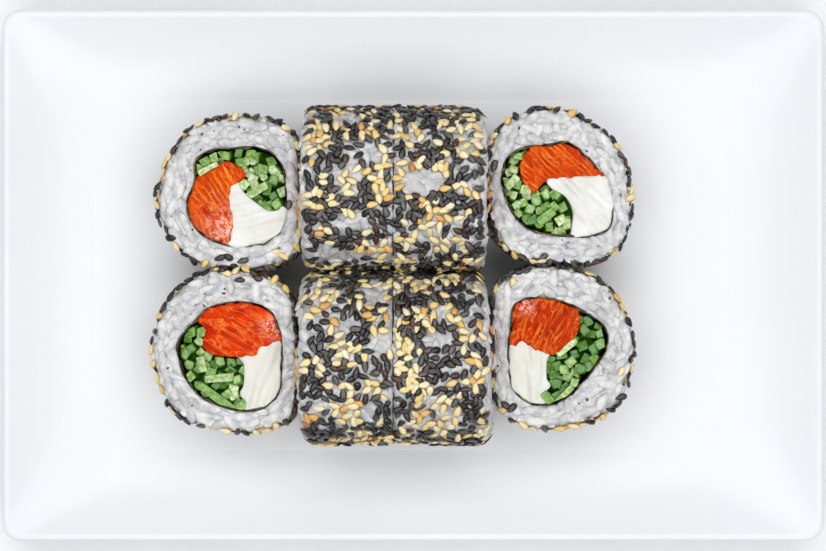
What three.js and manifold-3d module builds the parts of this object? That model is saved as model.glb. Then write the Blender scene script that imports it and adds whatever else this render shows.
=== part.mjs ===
// Philadelphia roll: eight slices of one inside-out sushi roll on a white rectangular plate.
// Millimetres, +Z up, origin at the centre of the plate's underside, +X along the plate.
// Two rows of four slices lie on the plate. The outer slice at each end of a row stands with
// its cut face up, and the two middle slices lie on their side, end to end along X.

import * as THREE from 'three';
import { mergeVertices } from 'three/addons/utils/BufferGeometryUtils.js';
import Module from 'manifold-3d';

const wasm = await Module();
wasm.setup();

// ---- Driving dimensions ----

const PLATE_LENGTH = 232;
const PLATE_WIDTH = 150;
const PLATE_HEIGHT = 15;
const PLATE_CORNER = 5; // corner radius of the outer edge
const CORNER_GROWTH = 0.85; // how much the corner radius grows for each mm in from the edge
const CORNER_POINTS = 6;
const WELL_TOP = 6; // height of the flat well that the food lies on
const FOOT_RECESS = 2; // height of the underside inside the foot ring

const SLICE_THICKNESS = 25.5;
const LYING_HEIGHT = 40;
const LYING_HALF_HEIGHT = 20.8; // before its own weight presses it flat below
const SQUARENESS = 2.35; // exponent of a lying slice's rounded square, 2 being an ellipse
const GAP = 0.3; // clearance between touching pieces
const NORI_THICKNESS = 0.6;
const EDGE_BEVEL = 0.8; // rounding of the rice at the two cut faces
const OUTLINE_POINTS = 28;
const NORI_POINTS = 16;

const SEED_LENGTH = 3.2;
const SEED_WIDTH = 1.9;
const SEED_PROUD = 0.55; // how far a seed stands out of the rice
const SEED_SPACING_LYING = 5.1;
const SEED_SPACING_STANDING = 6.9;
const SEED_EDGE_MARGIN = 2.2; // seeds keep this far from the cut faces

const GRAIN_LENGTH = 6;
const GRAIN_WIDTH = 2.7;
const GRAIN_PROUD = 0.6; // how far a rice grain stands out of the cut face
const GRAIN_SPACING = 5.2;
const GRAIN_SWAY = 0.7; // radians that grains turn away from running round the roll

const STICK_WIDTH = 2.4; // julienned cucumber
const STICK_PITCH = 3.6;
const STICK_RECESS = 1.6; // depth of the grooves between the stick ends
const STICK_TURN = 60; // degrees
const STICK_SHIFT = 0.6;
const STICK_UNEVENNESS = 0.7; // how far some ends lie below the others
const CHEESE_RECESS = 0.4; // the soft cheese lies a little below the salmon

// ---- Cross sections of the roll, seen along its axis ----
// Radii are measured from the slice's centre every 22.5 degrees, from +X counter-clockwise.
// The salmon and cream cheese areas run out past the nori, which trims them.

const SECTIONS = {
  a: {
    rice: [19, 21, 23.5, 22, 20, 20, 19, 18.5, 19.5, 20, 20.5, 21, 20.5, 22.5, 25, 21],
    nori: [16, 16.5, 16, 13.5, 12, 12.5, 13, 10, 11, 13, 13.5, 14.5, 15, 16.5, 18.5, 17],
    salmon: [[-8.5, 3.5], [-4.5, 6], [-0.5, 8], [4, 5.5], [3.5, 3], [0.5, 1.5], [0, -3.5],
      [1, -8], [0.5, -13], [-2, -19], [-15, -17], [-17, -3.5], [-13, 1]],
    cheese: [[2, 3], [4.5, -1], [11, -5.5], [19, -4], [19, -19], [-2, -19], [-2, 0.5]],
  },
  b: {
    rice: [19.5, 21, 24, 23, 22.5, 22, 21, 20, 20, 19.5, 21, 21, 21.5, 23.5, 25.5, 21.5],
    nori: [16, 16.5, 17, 15, 13.5, 13, 12, 13, 13.5, 13, 13.5, 14.5, 15.5, 18, 19.5, 17],
    salmon: [[-7.5, 9.5], [-5, 6], [-6, 2.5], [-4, 0], [2, -1], [8.5, -1], [10, 1.5],
      [15.5, 3], [19, 7.5], [12, 17], [-3.5, 17]],
    cheese: [[3, 0.5], [5.5, -3.5], [5.5, -9], [4.5, -11.5], [6, -14], [4.5, -19],
      [20, -19], [20, 5]],
  },
  c: {
    rice: [19, 19, 19.5, 19.5, 21, 22.5, 23, 21, 19.5, 20.5, 22, 21.5, 20.5, 22.5, 23, 20.5],
    nori: [13.5, 12, 11.5, 12, 13, 12.5, 15.5, 17, 16, 15, 15, 14, 13.5, 15, 18, 16],
    salmon: [[-7, 11.5], [-10.5, 6.5], [-10, 2], [-7.5, -1.5], [-5, 1], [-1.5, 2.5],
      [12.5, 3], [18, 6.5], [9, 14.5], [-0.5, 17.5]],
    cheese: [[-5, 3.5], [-1.5, -0.5], [2, -2.5], [4, -7], [3.5, -19], [18.5, -19], [18.5, 6.5]],
  },
  d: {
    rice: [19, 19, 20, 21, 22, 23.5, 25, 21.5, 19.5, 21, 24.5, 23.5, 21.5, 21, 21, 19],
    nori: [12, 13, 12, 11.5, 13, 15, 18.5, 16, 15.5, 16.5, 18.5, 17.5, 14.5, 11.5, 10.5, 10.5],
    salmon: [[4, 12], [3.5, 4], [-2, -1.5], [-7, -0.5], [-11.5, 2], [-13, 0.5], [-18, 2],
      [-18, 17], [-1, 17.5]],
    cheese: [[-3.5, 0], [-5, -3.5], [-5, -8.5], [-4, -10.5], [-6.5, -13], [-3, -18],
      [-19.5, -18], [-19.5, 5]],
  },
};

// Where each slice is. A standing slice is placed by its centre. A lying slice is placed by
// its two cut faces along X and its centre across, and its section is turned about its axis.
const STANDING = [
  { name: 'back_left', section: 'a', x: -50.7, y: 23.1 },
  { name: 'front_left', section: 'b', x: -51.8, y: -21 },
  { name: 'back_right', section: 'c', x: 40.4, y: 24.3 },
  { name: 'front_right', section: 'd', x: 41.5, y: -19.9 },
];
const BACK_ROW = { y: 23.85, width: 44.3 };
const FRONT_ROW = { y: -22.65, width: 46.7 };
const FILLING_HEIGHT = 19.5; // of the filling's centre above the plate in a lying slice
const REST_ROOM = 3; // seeds keep this far above the plate
const ROW_SEAM = 1.2; // where the two rows nearly touch
const SEAM_ROOM = 1.9; // seeds keep this far from the seam
const LYING_REACH = { left: -32.4, right: 22.2 }; // standing slices carry no seeds between these
const LYING = [
  { name: 'back_midleft', section: 'a', turn: 200, left: -30.4, right: -5.5, row: BACK_ROW },
  { name: 'back_midright', section: 'c', turn: 40, left: -5.2, right: 19.9, row: BACK_ROW },
  { name: 'front_midleft', section: 'b', turn: 110, left: -31, right: -5.5, row: FRONT_ROW },
  {
    name: 'front_midright',
    section: 'd',
    turn: 290,
    left: -5.2,
    right: 20.9,
    row: FRONT_ROW,
    lean: 0.04, // its right cut face slants out towards the front
  },
];

// ---- Materials ----

const MATERIALS = {
  plate: new THREE.MeshStandardMaterial({ color: 0xeef1f4, roughness: 0.25, metalness: 0 }),
  rice: new THREE.MeshStandardMaterial({ color: 0xc9cbcb, roughness: 0.6, metalness: 0 }),
  nori: new THREE.MeshStandardMaterial({ color: 0x26261a, roughness: 0.5, metalness: 0 }),
  salmon: new THREE.MeshStandardMaterial({ color: 0xe2561c, roughness: 0.35, metalness: 0 }),
  cheese: new THREE.MeshStandardMaterial({ color: 0xf1efe6, roughness: 0.5, metalness: 0 }),
  cucumber: new THREE.MeshStandardMaterial({ color: 0x86ab57, roughness: 0.4, metalness: 0 }),
};

// ---- Solids ----

/** A closed geometry as a solid that can be joined and cut. */
function toSolid(geometry) {
  const bare = geometry.clone();
  bare.deleteAttribute('normal');
  bare.deleteAttribute('uv');
  const merged = mergeVertices(bare, 1e-4);
  const mesh = new wasm.Mesh({
    numProp: 3,
    vertProperties: new Float32Array(merged.attributes.position.array),
    triVerts: new Uint32Array(merged.index.array),
  });
  return new wasm.Manifold(mesh);
}

/** A solid as a named mesh. */
function toMesh(solid, name, material) {
  const { numProp, vertProperties, triVerts } = solid.getMesh();
  const positions = new Float32Array((vertProperties.length / numProp) * 3);
  for (let vertex = 0; vertex * numProp < vertProperties.length; vertex += 1) {
    for (let axis = 0; axis < 3; axis += 1) {
      positions[vertex * 3 + axis] = vertProperties[vertex * numProp + axis];
    }
  }
  const geometry = new THREE.BufferGeometry();
  geometry.setAttribute('position', new THREE.BufferAttribute(positions, 3));
  geometry.setIndex(new THREE.BufferAttribute(new Uint32Array(triVerts), 1));
  geometry.computeVertexNormals();
  const mesh = new THREE.Mesh(geometry, material);
  mesh.name = name;
  return mesh;
}

/** A straight prism from height low to height high over a closed outline. */
function prism(outline, low, high, bevel = 0) {
  const geometry = new THREE.ExtrudeGeometry(new THREE.Shape(outline), {
    depth: high - low - 2 * bevel,
    bevelEnabled: bevel > 0,
    bevelThickness: bevel,
    bevelSize: bevel,
    bevelOffset: -bevel,
    bevelSegments: 1,
  });
  geometry.translate(0, 0, low + bevel);
  return toSolid(geometry);
}

// ---- Outlines ----

/** A smooth closed outline of evenly spaced points through radii at equal angles. */
function outlineFromRadii(radii, count, turn = 0) {
  const control = radii.map((radius, index) => {
    const angle = (index / radii.length) * 2 * Math.PI + THREE.MathUtils.degToRad(turn);
    return new THREE.Vector3(radius * Math.cos(angle), radius * Math.sin(angle), 0);
  });
  const curve = new THREE.CatmullRomCurve3(control, true, 'centripetal');
  return curve.getSpacedPoints(count).slice(0, count).map((p) => new THREE.Vector2(p.x, p.y));
}

/** The unit vector that points out of a counter-clockwise outline at one of its points. */
function outwardAt(outline, index) {
  const count = outline.length;
  const along = outline[(index + 1) % count].clone().sub(outline[(index + count - 1) % count]);
  return new THREE.Vector2(along.y, -along.x).normalize();
}

/** An outline moved outwards by a distance, or inwards where the distance is negative. */
function offsetOutline(outline, distance) {
  return outline.map((point, index) => (
    point.clone().addScaledVector(outwardAt(outline, index), distance)
  ));
}

function isInside(point, outline) {
  let inside = false;
  for (let index = 0; index < outline.length; index += 1) {
    const a = outline[index];
    const b = outline[(index + 1) % outline.length];
    const crosses = (a.y > point.y) !== (b.y > point.y);
    if (crosses && point.x < a.x + ((point.y - a.y) / (b.y - a.y)) * (b.x - a.x)) {
      inside = !inside;
    }
  }
  return inside;
}

/** A hand-measured area as a counter-clockwise outline, turned about the roll's axis. */
function areaOutline(corners, turn = 0) {
  const outline = corners.map(([x, y]) => new THREE.Vector2(x, y));
  if (THREE.ShapeUtils.area(outline) < 0) {
    outline.reverse();
  }
  const origin = new THREE.Vector2();
  return outline.map((point) => point.rotateAround(origin, THREE.MathUtils.degToRad(turn)));
}

/** The rice outline of a slice that lies on its side: a rounded square pressed flat below. */
function lyingOutline(width) {
  const floor = LYING_HALF_HEIGHT - LYING_HEIGHT;
  const outline = [];
  for (let index = 0; index < OUTLINE_POINTS; index += 1) {
    const angle = ((index + 0.5) / OUTLINE_POINTS) * 2 * Math.PI;
    const cos = Math.cos(angle);
    const sin = Math.sin(angle);
    const x = (width / 2) * Math.sign(cos) * Math.abs(cos) ** (2 / SQUARENESS);
    const y = LYING_HALF_HEIGHT * Math.sign(sin) * Math.abs(sin) ** (2 / SQUARENESS);
    outline.push(new THREE.Vector2(x, Math.max(y, floor) - floor));
  }
  return outline;
}

// ---- Random draws ----

/** A repeatable stream of random numbers from 0 to 1. */
function randomStream(seed) {
  let state = seed;
  return () => {
    state = (state + 0x6d2b79f5) | 0;
    let mixed = Math.imul(state ^ (state >>> 15), state | 1);
    mixed ^= mixed + Math.imul(mixed ^ (mixed >>> 7), mixed | 61);
    return ((mixed ^ (mixed >>> 14)) >>> 0) / 4294967296;
  };
}

// ---- Seeds and grains ----

/**
 * A low mound along X, half sunk: a pointed rim just below Z = 0, two ridge points above it
 * and one point below. The rim is given as fractions of the mound's length and width.
 */
function mound(rim, length, width, proud) {
  const rimDepth = -0.15;
  const positions = rim.flatMap(([along, across]) => [along * length, across * width, rimDepth]);
  positions.push(-0.22 * length, 0, proud * 0.85);
  positions.push(0.22 * length, 0, proud);
  positions.push(0, 0, -proud);
  const ridgeOf = (corner) => (rim[corner][0] < 0 ? rim.length : rim.length + 1);
  const bottom = rim.length + 2;
  const index = [];
  for (let corner = 0; corner < rim.length; corner += 1) {
    const next = (corner + 1) % rim.length;
    index.push(corner, next, ridgeOf(next), next, corner, bottom);
    if (ridgeOf(corner) !== ridgeOf(next)) {
      index.push(corner, ridgeOf(next), ridgeOf(corner));
    }
  }
  const geometry = new THREE.BufferGeometry();
  geometry.setAttribute('position', new THREE.Float32BufferAttribute(positions, 3));
  geometry.setIndex(index);
  return toSolid(geometry);
}

const SEED_RIM = [[-0.5, 0], [0.08, -0.5], [0.5, 0], [0.08, 0.5]];
const GRAIN_RIM = [[-0.5, 0], [-0.3, -0.5], [0.3, -0.5], [0.5, 0], [0.3, 0.5], [-0.3, 0.5]];
const SEED = mound(SEED_RIM, SEED_LENGTH, SEED_WIDTH, SEED_PROUD);
const GRAIN = mound(GRAIN_RIM, GRAIN_LENGTH, GRAIN_WIDTH, GRAIN_PROUD);

/** A copy of a small solid whose X and Z run along two given directions. */
function place(solid, position, along, normal) {
  const side = new THREE.Vector3().crossVectors(normal, along);
  const matrix = new THREE.Matrix4().makeBasis(along, side, normal).setPosition(position);
  return solid.transform(matrix.elements);
}

/** Seeds spread evenly over the rice wall between two heights, kept clear of resting spots. */
function wallSeeds(outline, low, high, spacing, isAllowed, random) {
  const lengths = outline.map((p, index) => p.distanceTo(outline[(index + 1) % outline.length]));
  const perimeter = lengths.reduce((sum, length) => sum + length, 0);
  const tries = 2500;
  const taken = [];
  const seeds = [];
  for (let attempt = 0; attempt < tries; attempt += 1) {
    const around = random() * perimeter;
    const height = low + SEED_EDGE_MARGIN + random() * (high - low - 2 * SEED_EDGE_MARGIN);
    const heading = random() * 2 * Math.PI;
    const isCrowded = taken.some(([otherAround, otherHeight]) => {
      const apart = Math.abs(around - otherAround);
      return Math.hypot(Math.min(apart, perimeter - apart), height - otherHeight) < spacing;
    });
    let edge = 0;
    let travelled = around;
    while (travelled > lengths[edge]) {
      travelled -= lengths[edge];
      edge += 1;
    }
    const start = outline[edge];
    const end = outline[(edge + 1) % outline.length];
    const spot = start.clone().lerp(end, travelled / lengths[edge]);
    if (isCrowded || !isAllowed(spot)) {
      continue;
    }
    taken.push([around, height]);
    const level = end.clone().sub(start).normalize();
    const normal = new THREE.Vector3(level.y, -level.x, 0);
    const along = new THREE.Vector3(level.x, level.y, 0).multiplyScalar(Math.cos(heading));
    along.z = Math.sin(heading);
    seeds.push(place(SEED, new THREE.Vector3(spot.x, spot.y, height), along, normal));
  }
  return seeds;
}

/** Rice grains spread evenly over the cut face between the rice outline and the nori. */
function faceGrains(outline, noriOutline, height, random) {
  const margin = GRAIN_LENGTH / 2;
  const outer = offsetOutline(outline, -margin);
  const inner = offsetOutline(noriOutline, GAP + GRAIN_WIDTH / 2);
  const reach = 26;
  const tries = 1500;
  const taken = [];
  const grains = [];
  for (let attempt = 0; attempt < tries; attempt += 1) {
    const spot = new THREE.Vector2((random() * 2 - 1) * reach, (random() * 2 - 1) * reach);
    const turn = (random() - 0.5) * GRAIN_SWAY;
    const isCrowded = taken.some((other) => other.distanceTo(spot) < GRAIN_SPACING);
    if (isCrowded || !isInside(spot, outer) || isInside(spot, inner)) {
      continue;
    }
    taken.push(spot);
    const heading = Math.atan2(spot.x, -spot.y) + turn;
    const along = new THREE.Vector3(Math.cos(heading), Math.sin(heading), 0);
    const position = new THREE.Vector3(spot.x, spot.y, height);
    grains.push(place(GRAIN, position, along, new THREE.Vector3(0, 0, 1)));
  }
  return grains;
}

// ---- The five kinds of piece in a slice ----

function buildRice(outline, hole, thickness, extras) {
  const body = prism(outline, 0, thickness, EDGE_BEVEL);
  const opening = prism(hole, -1, thickness + GRAIN_PROUD + 1);
  return extras.reduce((joined, extra) => joined.add(extra), body).subtract(opening);
}

function buildNori(outer, low, high) {
  const inside = prism(offsetOutline(outer, -NORI_THICKNESS), low - 1, high + 1);
  return prism(outer, low, high).subtract(inside);
}

/** Julienned cucumber: a core, and the ends of the sticks standing out of its upper face. */
function buildCucumber(inside, keepOut, low, high, random) {
  let bundle = prism(inside, low, high - STICK_RECESS);
  const half = STICK_WIDTH / 2;
  const corners = [[-half, -half], [half, -half], [half, half], [-half, half]];
  const reach = 17;
  for (let y = -reach; y <= reach; y += STICK_PITCH) {
    for (let x = -reach; x <= reach; x += STICK_PITCH) {
      const middle = new THREE.Vector2(x + random() * STICK_SHIFT, y + random() * STICK_SHIFT);
      const turn = random() * STICK_TURN;
      const top = high - random() * STICK_UNEVENNESS;
      const isFree = isInside(middle, offsetOutline(inside, -half))
        && !keepOut.some((area) => isInside(middle, offsetOutline(area, half)));
      if (isFree) {
        const stick = areaOutline(corners, turn).map((corner) => corner.add(middle));
        bundle = bundle.add(prism(stick, high - STICK_RECESS - 1, top));
      }
    }
  }
  return bundle;
}

/** Slants a slice's upper cut face: it falls by lean for each millimetre along +X. */
function leanUpperFace(geometry, thickness, lean) {
  const { position } = geometry.attributes;
  for (let vertex = 0; vertex < position.count; vertex += 1) {
    const height = position.getZ(vertex);
    const fall = (height / thickness) * lean * position.getX(vertex);
    position.setZ(vertex, height - fall);
  }
}

/** All five pieces of one slice, with the roll's axis along Z and the lower cut face at 0. */
function buildSlice({ name, section, turn = 0, outline, lift = 0, thickness, lean = 0, spacing,
  isAllowed, isOpen, seed }) {
  const shape = SECTIONS[section];
  const random = randomStream(seed);
  const raise = new THREE.Vector2(0, lift);
  const lifted = (points) => points.map((point) => point.clone().add(raise));
  const noriOutline = lifted(outlineFromRadii(shape.nori, NORI_POINTS, turn));
  const inside = offsetOutline(noriOutline, -NORI_THICKNESS - GAP);
  const salmonArea = lifted(areaOutline(shape.salmon, turn));
  const cheeseArea = lifted(areaOutline(shape.cheese, turn));

  const extras = wallSeeds(outline, 0, thickness, spacing, isAllowed, random);
  if (isOpen) {
    extras.push(...faceGrains(outline, noriOutline, thickness, random));
  }
  const rice = buildRice(outline, offsetOutline(noriOutline, GAP), thickness, extras);

  const low = GAP;
  const high = thickness - GAP;
  const filled = prism(inside, low, high);
  const salmonRoom = prism(offsetOutline(salmonArea, GAP), low - 1, high + 1);
  const cheeseRoom = prism(offsetOutline(cheeseArea, GAP), low - 1, high + 1);
  const salmon = filled.intersect(prism(salmonArea, low, high));
  const cheese = filled.intersect(prism(cheeseArea, low, high - CHEESE_RECESS))
    .subtract(salmonRoom);
  const bundle = isOpen
    ? buildCucumber(inside, [salmonArea, cheeseArea], low, high, random).intersect(filled)
    : filled;
  const cucumber = bundle.subtract(salmonRoom).subtract(cheeseRoom);

  const nori = buildNori(noriOutline, low, high);
  const slice = new THREE.Group();
  for (const [kind, solid] of Object.entries({ rice, nori, salmon, cheese, cucumber })) {
    const mesh = toMesh(solid, `${kind}_${name}`, MATERIALS[kind]);
    leanUpperFace(mesh.geometry, thickness, lean);
    slice.add(mesh);
  }
  return slice;
}

/** A slice that stands on one cut face, with the other face up. */
function buildStanding({ name, section, x, y }, index) {
  const besideLying = (spot) => (
    x + spot.x > LYING_REACH.left && x + spot.x < LYING_REACH.right
  );
  const besideSeam = (spot) => Math.abs(y + spot.y - ROW_SEAM) < SEAM_ROOM;
  const slice = buildSlice({
    name,
    section,
    outline: outlineFromRadii(SECTIONS[section].rice, OUTLINE_POINTS),
    thickness: SLICE_THICKNESS - GRAIN_PROUD,
    spacing: SEED_SPACING_STANDING,
    isAllowed: (spot) => !besideLying(spot) && !besideSeam(spot),
    isOpen: true,
    seed: 11 + index,
  });
  slice.position.set(x, y, WELL_TOP + GAP);
  return slice;
}

/** A slice that lies on its side, with the roll's axis along X. */
function buildLying({ name, section, turn, left, right, row, lean }, index) {
  const slice = buildSlice({
    name,
    section,
    turn,
    outline: lyingOutline(row.width),
    lift: FILLING_HEIGHT,
    thickness: right - left,
    lean,
    spacing: SEED_SPACING_LYING,
    isAllowed: (spot) => (
      spot.y > REST_ROOM && Math.abs(row.y + spot.x - ROW_SEAM) > SEAM_ROOM
    ),
    isOpen: false,
    seed: 31 + index,
  });
  slice.rotation.set(Math.PI / 2, Math.PI / 2, 0);
  slice.position.set(left, row.y, WELL_TOP + GAP);
  return slice;
}

// ---- Plate ----

/** A rounded rectangle, a given distance in from the plate's outer edge. */
function plateRing(inset, height) {
  const radius = PLATE_CORNER + inset * CORNER_GROWTH;
  const cornerX = PLATE_LENGTH / 2 - inset - radius;
  const cornerY = PLATE_WIDTH / 2 - inset - radius;
  const ring = [];
  for (let corner = 0; corner < 4; corner += 1) {
    const signX = corner === 0 || corner === 3 ? 1 : -1;
    const signY = corner < 2 ? 1 : -1;
    for (let step = 0; step < CORNER_POINTS; step += 1) {
      const angle = (corner + step / (CORNER_POINTS - 1)) * (Math.PI / 2);
      ring.push([
        signX * cornerX + radius * Math.cos(angle),
        signY * cornerY + radius * Math.sin(angle),
        height,
      ]);
    }
  }
  return ring;
}

/** A closed surface through rings of equal count, with a fan at its first and last ring. */
function loftRings(rings) {
  const count = rings[0].length;
  const positions = rings.flat(2);
  const index = [];
  for (let level = 0; level + 1 < rings.length; level += 1) {
    for (let step = 0; step < count; step += 1) {
      const a = level * count + step;
      const b = level * count + ((step + 1) % count);
      index.push(a, a + count, b + count, a, b + count, b);
    }
  }
  const firstMiddle = positions.length / 3;
  const last = (rings.length - 1) * count;
  positions.push(0, 0, rings[0][0][2], 0, 0, rings[rings.length - 1][0][2]);
  for (let step = 0; step < count; step += 1) {
    const next = (step + 1) % count;
    index.push(firstMiddle, step, next);
    index.push(firstMiddle + 1, last + next, last + step);
  }
  const geometry = new THREE.BufferGeometry();
  geometry.setAttribute('position', new THREE.Float32BufferAttribute(positions, 3));
  geometry.setIndex(index);
  return geometry;
}

/** The plate: flat well, curved rim with a rounded lip, and a low foot ring below. */
function buildPlate() {
  const profile = [
    [24, WELL_TOP],
    [19, WELL_TOP + 0.7],
    [14, WELL_TOP + 2.4],
    [8, WELL_TOP + 5.4],
    [3, PLATE_HEIGHT - 0.7],
    [1.6, PLATE_HEIGHT],
    [0.3, PLATE_HEIGHT - 0.4],
    [0, PLATE_HEIGHT - 1.6],
    [1.4, PLATE_HEIGHT - 3],
    [8, PLATE_HEIGHT - 7],
    [18, FOOT_RECESS],
    [20, 0],
    [24, 0],
    [25.5, FOOT_RECESS],
  ];
  const rings = profile.map(([inset, height]) => plateRing(inset, height));
  return toMesh(toSolid(loftRings(rings)), 'plate', MATERIALS.plate);
}

// ---- Assembly ----

const part = new THREE.Group();
part.add(buildPlate());
STANDING.forEach((slice, index) => part.add(buildStanding(slice, index)));
LYING.forEach((slice, index) => part.add(buildLying(slice, index)));

export default part;
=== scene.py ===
"""Philadelphia roll on its plate: the looks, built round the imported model.

Sizes in this script are millimetres, in the model's own frame. They become metres only
where a mesh, a light or the camera is made.
"""

import math

import bpy
import numpy as np
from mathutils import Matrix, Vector
from mathutils.geometry import delaunay_2d_cdt


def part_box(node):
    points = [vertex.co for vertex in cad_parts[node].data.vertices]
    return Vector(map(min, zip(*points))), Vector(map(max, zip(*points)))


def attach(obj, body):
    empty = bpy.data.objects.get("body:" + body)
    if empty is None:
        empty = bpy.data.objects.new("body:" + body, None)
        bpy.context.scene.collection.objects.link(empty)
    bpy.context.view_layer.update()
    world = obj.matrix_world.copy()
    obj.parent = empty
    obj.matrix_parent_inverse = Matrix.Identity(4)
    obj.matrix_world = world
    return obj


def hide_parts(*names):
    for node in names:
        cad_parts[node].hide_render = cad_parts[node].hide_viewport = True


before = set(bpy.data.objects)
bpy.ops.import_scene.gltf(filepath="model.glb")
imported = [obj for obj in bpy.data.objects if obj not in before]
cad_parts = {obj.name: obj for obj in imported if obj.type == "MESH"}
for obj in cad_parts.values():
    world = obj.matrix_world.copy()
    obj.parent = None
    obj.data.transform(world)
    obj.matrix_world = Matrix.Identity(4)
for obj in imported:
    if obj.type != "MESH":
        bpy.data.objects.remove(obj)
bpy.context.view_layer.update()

MM = 0.001

# ---- Sizes, in millimetres ----

PLATE_LENGTH = 232
PLATE_WIDTH = 150
PLATE_HEIGHT = 15
PLATE_CORNER = 5
CORNER_GROWTH = 0.85  # how much the corner radius grows for each mm in from the edge
WELL_TOP = 6
FOOT_RECESS = 2
# Distance in from the plate's outer edge, and height.
PLATE_PROFILE = [
    (25.5, WELL_TOP),
    (24, WELL_TOP),
    (19, WELL_TOP + 0.7),
    (14, WELL_TOP + 2.4),
    (8, WELL_TOP + 5.4),
    (3, PLATE_HEIGHT - 0.7),
    (1.6, PLATE_HEIGHT),
    (0.3, PLATE_HEIGHT - 0.4),
    (0, PLATE_HEIGHT - 1.6),
    (1.4, PLATE_HEIGHT - 3),
    (8, PLATE_HEIGHT - 7),
    (18, FOOT_RECESS),
    (20, 0),
    (24, 0),
    (25.5, FOOT_RECESS),
]

EDGE_BEVEL = 0.8  # rounding of the rice at the cut faces, as in the solids
STANDING_HEIGHT = 25.5
ROLL_RADIUS = 20
END_ROUNDING = 1.2  # how far a lying slice's free end is drawn in at its edge
END_REACH = 3.5  # how far from its free end that starts
END_FACE_DEPTH = 0.05  # corners this near the lowest level belong to the end face
LOOP_SPACING = 0.5  # between the points of a section's outline
NORI_THICKNESS = 0.42
BESIDE_NORI = 1.5  # a filling's edge this near the nori is pressed against it
FILLING_BASE = 0.35  # how far above the lower end the fillings start
FILLING_DROP = 0.3  # how far below the cut face the salmon and the cream cheese end

# Length, width and thickness, and between which shares of them each one varies.
GRAIN_SIZE = (6.5, 2.95, 2.2)
GRAIN_SHARES = ((0.85, 1.08), (0.9, 1.1), (0.9, 1.1))
SEED_SIZE = (3.4, 1.95, 0.85)
SEED_SHARES = ((0.86, 1.1), (0.86, 1.12), (0.85, 1.15))
GRAIN_BEND = 0.25  # how far to the side a grain's ends bend at most
SEAM_REACH = 0.1  # how far the rice of two lying slices reaches into the cut between them
SEED_CEILING = 46.15  # no seed's middle is higher, so that all stay under the solids' top
CEILING = 46.75  # no point of a seed is higher

# ---- Where things are ----

SLICES = [
    "back_left", "back_midleft", "back_midright", "back_right",
    "front_left", "front_midleft", "front_midright", "front_right",
]

# Rice left bare of seeds on top of the lying slices: centre x, y and size along x, y.
BARE_PATCHES = [
    (2.7, 25.4, 10.8, 6.5),
    (-17, 13.9, 9.5, 2.7),
    (-20.4, 5.8, 11.8, 3.0),
    (-11.6, 32.9, 4.0, 5.4),
    (-17.6, 42.4, 5.4, 1.8),
    (-10.5, -5.5, 4.8, 3.8),
    (-18, -13.1, 3.8, 2.7),
    (-8.9, -18.8, 4.3, 5.4),
    (6.5, -17.1, 8.0, 2.7),
    (7.3, -10.4, 1.8, 3.2),
    (-12.7, -36.8, 2.4, 3.8),
    (4.3, -33, 3.2, 2.0),
    (-6.2, -31, 2.6, 2.0),
]

# Seeds that lie on the cut faces: x, y, colour and heading in degrees.
STRAY_SEEDS = [
    (-53.1, 4.8, "black", 20),
    (-50.9, 5.1, "black", -25),
    (-46.8, 4.0, "black", 15),
    (-38.0, 6.5, "golden", 10),
    (-35.8, 5.4, "golden", -30),
    (-34.1, 19.4, "black", 80),
    (-47.6, -1.2, "black", 5),
    (-42.9, -0.7, "black", -12),
    (-51.4, 0.7, "golden", -20),
    (-38.2, -1.2, "golden", 50),
    (35.8, 5.1, "black", 30),
    (29.7, 5.1, "black", -20),
    (22.3, 30.1, "black", 70),
    (27.5, -2.1, "golden", 85),
    (57.2, -26.5, "golden", 60),
    (25.3, -35.6, "black", -35),
    (27.2, -36.5, "black", 40),
]

# Where cream cheese is smeared over the nori: slice, x, y and size.
SMEARS = [
    ("back_left", -35.6, 16.2, 2.4),
    ("back_left", -48.0, 9.0, 2.2),
    ("back_right", 53.8, 24.5, 3.0),
    ("back_right", 54.6, 20.2, 2.2),
    ("front_left", -35.2, -14.6, 1.6),
    ("front_right", 29.4, -13.6, 1.4),
]

# Cucumber sticks that fell over and show a long side at a cut face: slice, x, y, length,
# width, heading in degrees, how pale (0 to 1), and whether the skin shows.
FALLEN_STICKS = [
    ("back_left", -43.4, 23.0, 7.6, 2.1, 34, 0.75, False),
    ("back_left", -56.2, 29.2, 6.0, 1.8, 27, 1.0, False),
    ("back_left", -41.0, 18.6, 5.0, 2.2, -38, 0.3, True),
    ("front_left", -54.1, -33.6, 12.4, 2.4, -38, 0.4, False),
    ("front_left", -53.4, -28.2, 8.0, 2.2, 4, 0.75, False),
    ("front_left", -47.3, -36.0, 4.4, 2.5, 39, 0.5, True),
    ("front_left", -58.0, -24.4, 4.4, 2.2, -75, 0.7, False),
    ("back_right", 27.4, 25.6, 4.6, 2.0, 48, 0.95, False),
    ("back_right", 36.6, 16.2, 5.2, 2.3, 38, 0.5, True),
    ("front_right", 37.3, -34.2, 4.6, 2.3, -48, 0.4, True),
    ("front_right", 41.8, -32.8, 6.0, 2.2, 45, 0.8, False),
    ("front_right", 42.3, -19.8, 6.6, 1.9, 37, 1.0, False),
]


# ---- Random values ----

def random_for(*words):
    """A random stream of its own for each piece, the same on every run."""
    return np.random.default_rng([sum(word.encode()) + 7 * len(word) for word in words])


def any_heading(rng, count=None):
    return rng.uniform(0, 2 * math.pi, size=count)


def varied(size, shares, count, rng):
    """Length, width and thickness of each of count pieces, at random within shares of size."""
    return np.column_stack([rng.uniform(*share, size=count) * whole
                            for whole, share in zip(size, shares)])


def smooth_noise(points, size, seed):
    """Soft random values from about -1 to 1 that change over a distance of about size."""
    rng = np.random.default_rng(seed)
    waves = 14
    total = np.zeros(len(points))
    for _ in range(waves):
        direction = rng.normal(size=points.shape[1])
        direction *= rng.uniform(0.6, 1.5) / (size * np.linalg.norm(direction))
        total += np.sin(2 * math.pi * (points @ direction + rng.uniform()) * 0.5)
    return total / math.sqrt(waves)


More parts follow.
